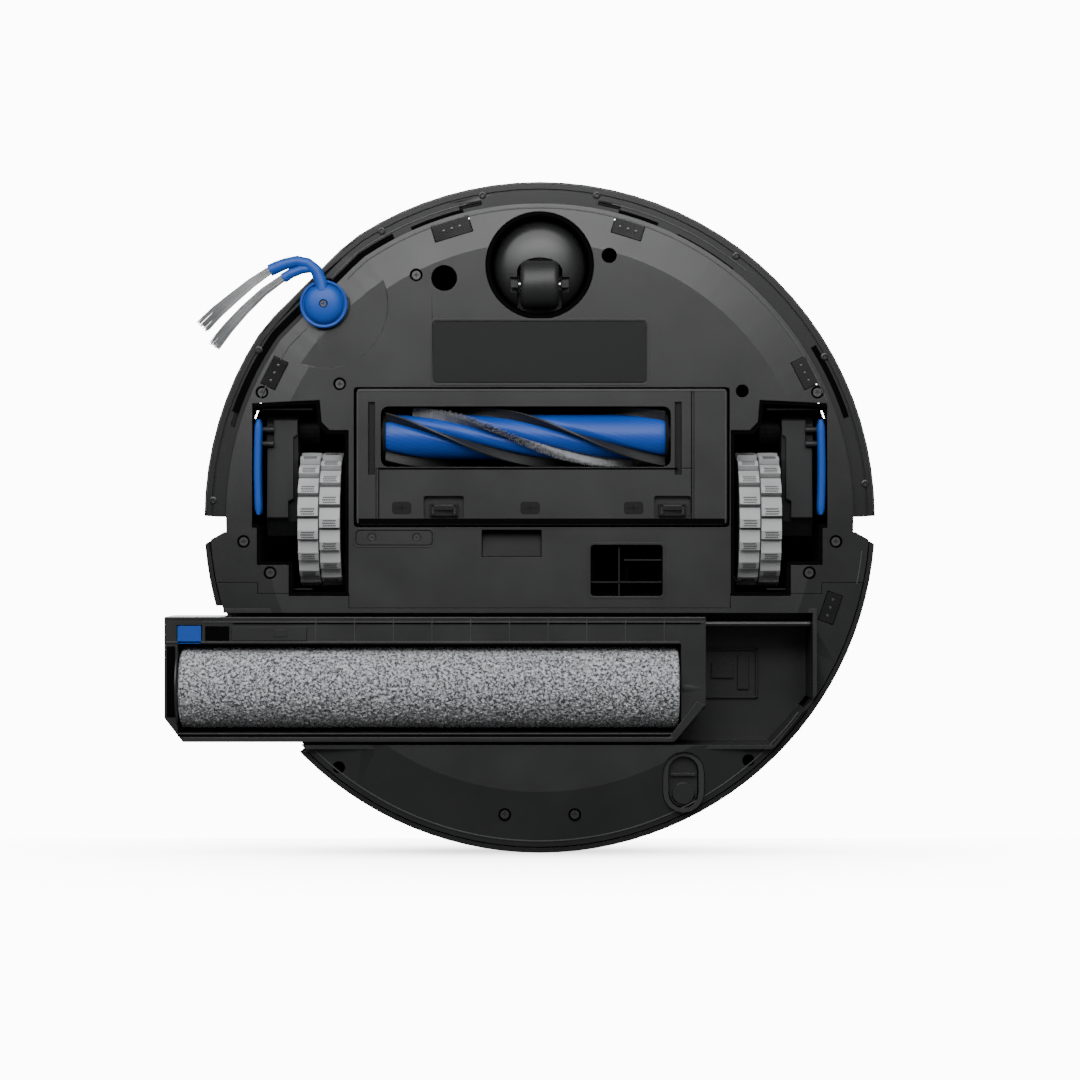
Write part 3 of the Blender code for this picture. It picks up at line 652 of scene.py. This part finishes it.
def tuft(name, node, path, spread0, spread1, count):
    """Bristles that fan out a little along a curved path."""
    build = Build()
    for i in range(count):
        u = (i + 0.5) / count * 2 - 1 + random.uniform(-0.06, 0.06)
        v = random.uniform(-1, 1)
        line = []
        cut = random.uniform(0.96, 1.0)
        for k in range(len(path)):
            t = k / (len(path) - 1) * cut
            at = t * (len(path) - 1)
            low_k = min(int(at), len(path) - 2)
            p = Vector(path[low_k]).lerp(Vector(path[low_k + 1]), at - low_k)
            ahead = (Vector(path[low_k + 1]) - Vector(path[low_k])).normalized()
            side = Vector((-ahead.y, ahead.x))
            spread = spread0 + (spread1 - spread0) * t
            q = p + side * u * spread * 0.5
            line.append((q.x, q.y, 5.9 + v * (0.9 + 0.35 * t)))
        build.tube(line, [0.28, 0.28, 0.26, 0.24, 0.16][: len(line)] if len(line) == 5 else 0.24, 4)
    made = build.make(name, BRISTLE, "side_brush", angle=80)
    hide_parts(node)


tuft(
    "side_brush_bristles_long", "side_brush_tuft_long",
    [(-140.4, -128.6), (-150.0, -122.0), (-160.0, -113.8), (-168.5, -106.5), (-176.2, -98.6)], 3.6, 7.4, 64
)
tuft(
    "side_brush_bristles_short", "side_brush_tuft_short",
    [(-133.4, -124.6), (-144.0, -117.0), (-154.5, -107.0), (-163.0, -97.5), (-170.0, -88.4)], 3.4, 6.4, 56
)

# ---------------------------------------------------------------- drive wheels
LUGS = 18
# A lug's outer side, as a share of its span and a radius: a saw tooth.
LUG_PROFILE = ((0.0, 31.8), (0.0, 32.9), (0.3, 33.9), (0.52, 34.9), (0.56, 35.2), (0.97, 35.3), (1.0, 31.8))
LUG_FOOT_R = 31.5


def on_wheel(r, a):
    return (WHEEL[0] + r * math.cos(a), WHEEL[1] + r * math.sin(a))


for side, label in ((1, "right"), (-1, "left")):
    tyre = Build()
    knurl = Build()
    x_in, x_out = side * 104.1, side * 125.7
    # The drum under the lugs is dark: painted shade between the lugs.
    valley = Build()
    valley.lathe_x([(x_in, 24.7), (x_in, 32.6), (x_out, 32.6), (x_out, 24.7)], *WHEEL, 72, closed=True)
    valley = valley.make(label + "_tyre_body", TREAD_SHADE, label + "_wheel")
    for row, (a0, a1) in enumerate(((104.0, 114.5), (115.3, 125.8))):
        for i in range(LUGS):
            start = TAU * (i + 0.5 * row) / LUGS
            span = TAU / LUGS * 0.90
            outline = [on_wheel(r, start + span * u) for u, r in LUG_PROFILE]
            outline += [on_wheel(LUG_FOOT_R, start + span * u) for u in (1.0, 0.5, 0.0)]
            tyre.loft([[(side * (a0 + d), y, z) for y, z in outline] for d in (0.0, a1 - a0)])
            for c in range(3):
                for d in range(8):
                    a = start + span * (0.64 + 0.12 * c)
                    x = a0 + 2.2 + (a1 - a0 - 4.0) * (d + 0.5 * (c % 2)) / 7.5
                    dot = []
                    for r, w in ((35.0, 0.36), (35.46, 0.30)):
                        ring = []
                        for du, dx in ((-1, -1), (1, -1), (1, 1), (-1, 1)):
                            b = a + du * w / 35
                            ring.append((side * (x + dx * w), *on_wheel(r, b)))
                        dot.append(ring)
                    knurl.loft(dot)
    # The knurl dots are raised but dark: painted shade for the knurl's recesses.
    knurl.make(label + "_tyre_knurl", TREAD_SHADE, label + "_wheel")
    tyre = tyre.make(label + "_tyre_tread", TYRE, label + "_wheel", angle=30)
    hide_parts(label + "_tyre")
    # cover, blue blade, web and pins on the swing arm
    arm = label + "_arm"
    cover = Build()
    outline = [
        (139.9, -51.4), (127.2, -51.4), (127.2, -44.0), (129.4, -42.6), (129.4, -9.3), (132.2, -8.0),
        (132.2, 0.7), (143.6, 0.7), (143.6, -36.4), (139.9, -38.4)
    ]
    cover.prism([(side * x, y) for x, y in outline], 20.8, 24.5, 0.6)
    cover.make(label + "_gear_cover", PANEL, arm)
    blade = Build()
    rings = []
    for i in range(17):
        y = -51.0 + 49.8 * i / 16
        bow = 0.55 * math.sin(math.pi * i / 16)
        x0, x1 = 145.3 + bow, 149.0 + bow
        trim_end = 0.9 if i in (0, 16) else 0.0
        rings.append(
            [
                (side * x, y, z)
                for x, z in (
                    (x0 + trim_end, 12.0), (x0 + 0.7 + trim_end, 11.2), (x1 - 0.7 - trim_end, 11.2),
                    (x1 - trim_end, 12.0), (x1 - trim_end, 19.0), (x0 + trim_end, 19.0)
                )
            ]
        )
    blade.loft(rings)
    blade = blade.make(label + "_lever_blade", BLUE, arm, angle=50)
    web = Build()
    shape = [(-50.6, 18.5), (-1.6, 18.5), (-1.2, 30), (-12, 39.8), (-44, 43.8), (-51.0, 38)]
    web.loft([[(side * x, y, z) for y, z in shape] for x in (146.0, 149.4)])
    web = web.make(label + "_lever_web", DEEP_DARK_AND_SHADE, arm)
    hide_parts(label + "_lever_plate")
    pins = Build()
    for y, z in ((-46.0, 20.0), (-38.5, 19.0)):
        pins.lathe_x([(side * 139.6, 1.6), (side * 146.2, 1.6)], y, z, 20)
    pins.make(label + "_lever_pins", PANEL, arm)
    # inner webs of the well
    webs = Build()
    for y in (-56.5, 37.8):
        webs.box(*sorted((side * 119, side * 146 if y < 0 else side * 129)), y - 0.4, y + 0.4, 14, 60)
    webs.make(label + "_well_webs", DEEP_DARK_AND_SHADE, "chassis", 0.2)

# ---------------------------------------------------------------- brush guard details
MARKS_X = (-72, -5, 49)
# Thin light strips: painted highlight along the guard's rim.
trim = Build()
trim.box(-95.0, 97.0, -66.5, -65.7, 7.7, 8.2)
trim.box(-95.2, -94.5, -66.0, 3.2, 7.7, 8.2)
trim.box(96.6, 97.3, -66.0, 3.2, 7.7, 8.2)
trim.make("guard_rim_lines", EDGE_HIGHLIGHT, "guard")
# Near-black strips: painted shade in the guard's grooves and the shadow under its lower edge.
grooves = Build()
grooves.box(-83.6, 72.0, -25.7, -24.7, 7.8, 8.1)
grooves.box(-84.2, -83.7, -25.7, 0.6, 7.8, 8.1)
grooves.box(78.9, 79.4, -66.0, 1.0, 7.8, 8.1)
grooves.box(-95.4, 97.5, 0.8, 3.8, 7.75, 8.2)
grooves.make("guard_groove_shade", PAINTED_SHADE, "guard")
# Dark floors in the guard's slots: painted shade.
slots = Build()
slots.box(-89.4, -86.1, -59.9, -22.1, 9.4, 9.9)
slots.box(70.6, 73.9, -59.9, -22.1, 9.4, 9.9)
slots.make("guard_slot_floors", DEEP_DARK_AND_SHADE, "guard")
icons = Build()
for cx in MARKS_X:
    icons.prism(rounded(cx - 5, cx + 5, -8.0, -1.6, 1.6), 7.72, 7.95)
icons.make("guard_marks", DEEP_DARK_AND_SHADE, "guard")
marks = Build()
for cx in MARKS_X:
    marks.prism(rounded(cx - 3.4, cx + 3.4, -5.1, -4.5, 0.25), 7.6, 7.8)
    marks.prism(rounded(cx - 0.3, cx + 0.3, -6.9, -2.7, 0.25), 7.6, 7.8)
marks.make("guard_mark_lines", ICON, "guard")
for label, x0, x1 in (("left", -57.5, -42.6), ("right", 62.0, 76.5)):
    lever = Build()
    lever.box(x0 + 1.2, x1 - 1.2, -6.4, -5.4, 7.95, 8.8)
    lever.box(x0 + 1.2, x0 + 2.4, -6.4, -1.2, 7.95, 8.8)
    lever.box(x1 - 2.4, x1 - 1.2, -6.4, -1.2, 7.95, 8.8)
    lever.make(f"guard_latch_{label}_tab", SATIN, "latch_" + label, 0.15)

# ---------------------------------------------------------------- bumper details
# Where the travel gap behind the bumper is closed off, in degrees.
GAP_ARCS = ((181.5, 195.2), (199.0, 255.6), (260.2, 280.4), (284.8, 331.5), (336.0, 358.5))
# Near-black arcs under the bumper, painted shade for the gap behind it: inner and outer radius, then the
# first and last angle in degrees.
GAP_SHADE_ARCS = (
    (162.0, 167.6, 228.5, 242.5), (163.4, 166.4, 246.0, 256.0), (163.4, 166.4, 284.5, 292.0),
    (166.8, 170.6, 199.0, 223.5), (163.2, 165.2, 296.0, 308.0), (167.5, 170.5, 328.0, 342.0)
)
BOSSES = (
    (-30.1, -169.2), (29.9, -169.2), (-82.9, -149.9), (103.3, -137.4), (-147.2, -87.7), (150.1, -84.6),
    (-172.2, -8.9), (172.0, -17.8)
)
bosses = Build()
for px, py in BOSSES:
    a = math.atan2(py, px)
    q = rim(171.4, a)
    bosses.lathe(
        [(2.1, 16.3), (1.9, 15.6), (1.1, 15.35), (0.9, 15.9), (0.9, 16.2)], q * math.cos(a),
        q * math.sin(a), 18
    )
bosses.make("bumper_bosses", SATIN, "bumper")
gaps = Build()
for r0, r1, a0, a1 in GAP_SHADE_ARCS:
    gaps.arc_bar(r0, r1, a0, a1, 15.88, 16.15, 24)
gaps.make("bumper_gap_shade", PAINTED_SHADE, "bumper")
# The strip is near-black: painted shade inside the travel gap, where the background would show through.
closing = Build()
for a0, a1 in GAP_ARCS:
    closing.arc_bar(165.4, 170.2, a0, a1, 84.4, 85.9, 60)
closing.make("bumper_closing_strip", PAINTED_SHADE, "bumper")
# Thin light arcs: painted highlight along the bumper's edges.
rails = Build()
rails.arc_bar(174.7, 175.3, 181, 359, 16.2, 16.9, 90)
rails.arc_bar(168.3, 168.8, 229, 257, 15.7, 16.2, 30)
rails.arc_bar(168.3, 168.8, 283, 310, 15.7, 16.2, 30)
rails.make("bumper_rails", EDGE_HIGHLIGHT, "bumper")

# ---------------------------------------------------------------- base details
SENSOR_TURN = {"front_left": -17, "front_right": 17, "side_left": 117, "side_right": 63, "rear_right": 109}
# Thin light arcs: painted highlight along the base plate's edges.
lines = Build()
lines.arc_bar(158.4, 159.0, 203, 219, 12.0, 12.5, 20)
lines.arc_bar(161.6, 162.4, 231, 338, 12.55, 13.1, 60)
lines.arc_bar(169.3, 170.0, 37, 134, 13.9, 14.5, 60)
lines.arc_bar(169.3, 170.0, 6, 12, 13.9, 14.5, 6)
lines.make("base_edge_lines", EDGE_HIGHLIGHT, "chassis")
# A dark wedge in the finger recess: painted shade.
tray = Build()
tray.loft(
    [
        [(-30.0, y, z) for y, z in ((6.9, 16.2), (20.6, 10.2), (20.6, 16.2))],
        [(0.7, y, z) for y, z in ((6.9, 16.2), (20.6, 10.2), (20.6, 16.2))]
    ]
)
tray.make("finger_ramp", DEEP_DARK_AND_SHADE, "chassis")
frame_line = Build()
for outer, inner in (
    (rounded(-57.2, 57.2, -103.7, -68.7, 2.6), rounded(-56.3, 56.3, -102.8, -69.6, 2.2)),
    (rounded(25.2, 65.6, 13.2, 42.7, 2.2), rounded(26.4, 64.4, 14.4, 41.5, 1.6)),
    (rounded(-97.4, -54.8, 5.9, 15.9, 2.6), rounded(-96.3, -55.8, 6.8, 15.0, 2.2)),
):
    frame_line.loft(
        [
            [(x, y, 9.7) for x, y in outer], [(x, y, 9.3) for x, y in outer],
            [(x, y, 9.3) for x, y in inner], [(x, y, 9.7) for x, y in inner]
        ],
        closed=True
    )
frame_line.make("base_frame_lines", BASE, "chassis")
port_webs = Build()
port_webs.box(27.0, 63.9, 33.6, 34.6, 12.3, 18.6)
port_webs.box(41.0, 42.0, 14.9, 41.0, 12.3, 18.6)
port_webs.box(44.0, 63.9, 22.0, 23.0, 12.3, 18.4)
port_webs.make("dust_port_webs", DEEP_DARK_AND_SHADE, "chassis", 0.15)
for name in [n for n in nodes if n.startswith("cliff_sensor")]:
    lo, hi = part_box(name)
    cx, cy = ((lo[0] + hi[0]) / 2 - OX) / MM, (lo[1] + hi[1]) / 2 / MM
    z = lo[2] / MM
    turn = SENSOR_TURN[name[len("cliff_sensor_"):]]
    lens = Build()
    a = math.radians(turn)
    for u in (-4.4, 0.0, 4.4):
        lens.lathe(
            [(0.9, z + 0.3), (0.8, z - 0.2), (0.2, z - 0.3)], cx + u * math.cos(a), cy + u * math.sin(a), 20
        )
    lens.make(name + "_lenses", LENS, "chassis")

# ---------------------------------------------------------------- mop module details
m = "mop_module"
# Thin light strips: painted highlight along the mop strip's edges and ribs.
strip = Build()
strip.box(-195.0, 86.0, 52.3, 53.0, 8.0, 8.8)
strip.box(-176.0, 86.0, 54.6, 55.1, 8.15, 8.8)
strip.box(-195.0, 73.0, 64.9, 65.7, 8.0, 8.8)
for i in range(10):
    x = -116.8 + 20.2 * i
    strip.box(x - 0.25, x + 0.25, 53.0, 65.0, 8.2, 8.8)
strip.make("mop_strip_lines", EDGE_HIGHLIGHT, m)
# Near-black strips: painted shade in the mop module's recesses and seams.
dark = Build()
dark.box(-174.6, -162.0, 57.0, 64.6, 8.3, 8.7)
dark.box(-189.0, 73.6, 112.8, 114.6, 8.3, 8.7)
dark.box(-194.6, -190.2, 67.5, 104.5, 8.3, 8.7)
dark.box(-160.0, 84.0, 55.2, 56.0, 8.35, 8.7)
dark.make("mop_recess_shade", PAINTED_SHADE, m)
plate = Build()
plate.prism(rounded(-161.0, -121.5, 57.2, 64.6, 0.8), 7.7, 8.7, 0.2)
plate.box(-138.6, -131.8, 58.6, 62.6, 7.45, 7.8)
plate.make("mop_strip_plate", PANEL, m, 0.15)
end = Build()
for i in range(7):
    y = 53.6 + i * 1.75
    end.box(-196.2, -195.2, y, y + 0.9, 10, 30)
end.make("mop_end_ribs", SATIN, m, 0.15)
cap = Build()
cap.lathe_x([(-189.6, 23.4), (-188.9, 23.4), (-188.9, 22.6), (-189.6, 22.6)], *MOP, 64, closed=True)
cap.lathe_x([(-189.0, 12.0), (-188.7, 11.0), (-188.7, 5.0)], *MOP, 40)
cap.make("mop_left_bearing", SATIN, m)
right = Build()
right.lathe_x([(73.9, 11.9), (74.4, 12.2), (85.6, 12.0), (86.6, 11.2), (86.6, 3.0)], 89.5, 20.6, 48)
right.loft([[(66.0, 117.0, z), (70.4, 117.2, z), (86.3, 98.4, z), (82.0, 96.0, z)] for z in (8.0, 12.0)])
right.make("mop_right_housing", SATIN, m, 0.3)
bar = Build()
bar.box(-186.0, 69.8, 115.0, 117.3, 7.6, 9.0)
bar.box(-189.0, 73.5, 112.9, 113.5, 8.1, 9.2)
bar.make("mop_rear_bar", SATIN, m, 0.2)

# ---------------------------------------------------------------- mop bay details
bay = Build()
for i in range(13):
    x = 89.5 + i * 1.95
    bay.box(x, x + 1.0, 52.6, 56.4, 50.6, 52.2)
bay.box(88.5, 117.0, 51.6, 52.5, 50.6, 52.2)
bay.box(88.5, 117.0, 56.5, 57.6, 50.6, 52.2)
bay.make("bay_rack", PANEL, "chassis")
pocket = Build()
pocket.box(86.3, 116.6, 70.0, 71.2, 50.6, 52.2)
pocket.box(86.3, 116.6, 95.6, 96.8, 50.6, 52.2)
pocket.box(115.6, 116.8, 70.0, 96.8, 50.6, 52.2)
pocket.box(92.0, 104.0, 78.0, 86.0, 50.7, 52.2)
pocket.box(106.0, 112.0, 74.0, 92.0, 50.7, 52.2)
pocket.make("bay_pocket", PANEL, "chassis", 0.2)

# ---------------------------------------------------------------- caster details
dome = Build()
dome.lathe(
    [
        (24.3, 30.0), (24.3, 20.4), (23.8, 18.6), (22.6, 16.9), (20.6, 15.3), (17.6, 13.8), (14.0, 12.7),
        (9.5, 11.95), (4.5, 11.6), (0.3, 11.55)
    ],
    *CASTER, 64
)
cx, cy = CASTER
arch = [
    (11.8, -106.0), (11.8, -129.6), (10.6, -131.8), (8.6, -133.6), (6.0, -134.8), (3.0, -135.5),
    (0.0, -135.7)
]
hole = Build().prism(arch + [(-x, y) for x, y in arch[::-1][1:]], 5, 26)
lug = Build().box(-15.6, 15.6, -125.6, -118.0, 5, 16.4)
dome = carve(dome, (hole, lug))
dome = dome.make("caster_dome", SATIN, "caster_fork", angle=24)
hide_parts("caster_turret")
fork = Build()
for s in (-1, 1):
    fork.box(*sorted((s * 11.0, s * 15.2)), -123.6, -119.8, 10.9, 14.4)
fork.box(-11.6, 11.6, -135.6, -134.6, 13.5, 26.0)
fork.make("caster_axle_lugs", PANEL, "caster_fork", 0.3)
grooves = Build()
for x in (-6.5, -3.2, 3.2, 6.5):
    grooves.lathe_x(
        [(x - 0.25, 12.46), (x, 12.5), (x + 0.25, 12.46), (x + 0.25, 11.8), (x - 0.25, 11.8)], *AXLE, 48,
        closed=True
    )
grooves.make("caster_wheel_rings", RUBBER, "caster_roller")

# ---------------------------------------------------------------- top and rear
top = Build()
top.lathe([(9.6, 97.95), (9.9, 97.98), (10.6, 97.98), (10.9, 97.9)], 0, -120, 48, closed=True)
top.lathe([(118.0, 97.97), (118.0, 98.0), (118.5, 98.0), (118.5, 97.97)], 0, 0, 96, closed=True)
top.make("cover_lines", SATIN, "cover")
# Dark slats on the wall: painted shade for the vent openings.
vents = Build()
for i in range(15):
    degrees = 60 + i * 1.7
    x, y = polar(176.0, degrees)
    vents.turned_box(x * 0.9987, y * 0.9987, 2.0, 0.7, degrees + 90, 56, 76)
vents.make("exhaust_grille", DEEP_DARK_AND_SHADE, "chassis", 0.2)


# ---------------------------------------------------------------- stage
def one_way(shader_node, tree):
    """Lets a surface show from its front only."""
    out = tree.nodes["Material Output"]
    side = tree.nodes.new("ShaderNodeNewGeometry")
    clear = tree.nodes.new("ShaderNodeBsdfTransparent")
    choose = tree.nodes.new("ShaderNodeMixShader")
    tree.links.new(side.outputs["Backfacing"], choose.inputs[0])
    tree.links.new(shader_node, choose.inputs[1])
    tree.links.new(clear.outputs[0], choose.inputs[2])
    tree.links.new(choose.outputs[0], out.inputs["Surface"])


def sheet(name, corners):
    mesh = bpy.data.meshes.new(name)
    mesh.from_pydata(corners, [], [(0, 1, 2, 3)])
    obj = bpy.data.objects.new(name, mesh)
    bpy.context.scene.collection.objects.link(obj)
    obj.visible_shadow = False
    obj.visible_diffuse = False
    obj.visible_glossy = False
    obj.visible_transmission = False
    return obj


pale, tree, shader = new_material("pale_floor")
shader.inputs["Base Color"].default_value = (0.86, 0.86, 0.86, 1)
shader.inputs["Roughness"].default_value = 0.85
shader.inputs["Specular IOR Level"].default_value = 0.1
shader.inputs["Emission Color"].default_value = (1, 1, 1, 1)
shader.inputs["Emission Strength"].default_value = 1.1
one_way(shader.outputs[0], tree)
floor = sheet("stage_floor", [(-3, -3, 0), (3, -3, 0), (3, 3, 0), (-3, 3, 0)])
floor.data.materials.append(pale)

# The painted shadow on the sheet behind the rear edge.
painted_shadow, tree, shader = new_material("contact_shadow")


EXP_MINUS_ONE = 0.3679
# The painted shadow's two gradients: width, height, height of the middle, darkness.
SHADOW_CORE = (0.15, 0.030, 0.030, 0.44)
SHADOW_SPREAD = (0.23, 0.12, 0.02, 0.42)
WALL_Y = 0.1765  # just behind the rear edge, which the robot stands on in the photograph
WALL_TOP = 0.098


def bell(tree, separate, sx, sz, z_mid, strength):
    """A bell-shaped patch of darkness on the shadow sheet, as a node."""
    total = None
    for axis, scale, mid in (("X", sx, OX * MM), ("Z", sz, z_mid)):
        away = tree.nodes.new("ShaderNodeMath")
        away.operation = "SUBTRACT"
        away.inputs[1].default_value = mid
        tree.links.new(separate.outputs[axis], away.inputs[0])
        divide = tree.nodes.new("ShaderNodeMath")
        divide.operation = "DIVIDE"
        divide.inputs[1].default_value = scale
        tree.links.new(away.outputs[0], divide.inputs[0])
        square = tree.nodes.new("ShaderNodeMath")
        square.operation = "MULTIPLY"
        tree.links.new(divide.outputs[0], square.inputs[0])
        tree.links.new(divide.outputs[0], square.inputs[1])
        if total is None:
            total = square
        else:
            add = tree.nodes.new("ShaderNodeMath")
            add.operation = "ADD"
            tree.links.new(total.outputs[0], add.inputs[0])
            tree.links.new(square.outputs[0], add.inputs[1])
            total = add
    power = tree.nodes.new("ShaderNodeMath")
    power.operation = "POWER"
    power.inputs[0].default_value = EXP_MINUS_ONE
    tree.links.new(total.outputs[0], power.inputs[1])
    level = tree.nodes.new("ShaderNodeMath")
    level.operation = "MULTIPLY"
    level.inputs[1].default_value = strength
    tree.links.new(power.outputs[0], level.inputs[0])
    return level


where = tree.nodes.new("ShaderNodeTexCoord")
separate = tree.nodes.new("ShaderNodeSeparateXYZ")
tree.links.new(where.outputs["Object"], separate.inputs[0])
add = tree.nodes.new("ShaderNodeMath")
add.operation = "ADD"
add.use_clamp = True
tree.links.new(bell(tree, separate, *SHADOW_CORE).outputs[0], add.inputs[0])
tree.links.new(bell(tree, separate, *SHADOW_SPREAD).outputs[0], add.inputs[1])
clear = tree.nodes.new("ShaderNodeBsdfTransparent")
shade = tree.nodes.new("ShaderNodeEmission")
shade.inputs["Color"].default_value = (0.02, 0.02, 0.02, 1)
blend = tree.nodes.new("ShaderNodeMixShader")
tree.links.new(add.outputs[0], blend.inputs[0])
tree.links.new(clear.outputs[0], blend.inputs[1])
tree.links.new(shade.outputs[0], blend.inputs[2])
one_way(blend.outputs[0], tree)
wall = sheet(
    "stage_shadow",
    [(x, WALL_Y, z) for x, z in ((-0.9, -0.6), (0.9, -0.6), (0.9, WALL_TOP), (-0.9, WALL_TOP))]
)
wall.data.materials.append(painted_shadow)

SKY_LIGHT = 0.17
SKY_SEEN = 12.0
world = bpy.data.worlds.new("studio")
bpy.context.scene.world = world
world.use_nodes = True
tree = world.node_tree
background = tree.nodes["Background"]
background.inputs["Color"].default_value = (1, 1, 1, 1)
path = tree.nodes.new("ShaderNodeLightPath")
level = tree.nodes.new("ShaderNodeMapRange")
level.inputs["To Min"].default_value = SKY_LIGHT
level.inputs["To Max"].default_value = SKY_SEEN
tree.links.new(path.outputs["Is Camera Ray"], level.inputs["Value"])
tree.links.new(level.outputs["Result"], background.inputs["Strength"])


def area(name, place, target, size, power, colour=(1, 1, 1)):
    data = bpy.data.lights.new(name, "AREA")
    data.shape = "RECTANGLE"
    data.size, data.size_y = size
    data.energy = power
    data.color = colour
    made = bpy.data.objects.new(name, data)
    made.location = place
    made.rotation_euler = (Vector(target) - Vector(place)).to_track_quat("-Z", "Y").to_euler()
    bpy.context.scene.collection.objects.link(made)
    return made


area("key", (-0.12, -0.62, -0.62), (0, -0.12, 0.03), (1.3, 0.7), 11)
area("sheen", (-0.05, -0.62, -1.25), (0, -0.12, 0.02), (0.9, 0.4), 6)
area("fill", (0.35, -0.5, -1.2), (0, -0.1, 0.03), (0.8, 0.6), 2)
area("top_key", (-0.6, -0.7, 1.5), (0, 0, 0.05), (1.6, 1.6), 34)
area("top_rim", (0.9, 1.1, 1.0), (0, 0, 0.05), (1.4, 1.0), 24)
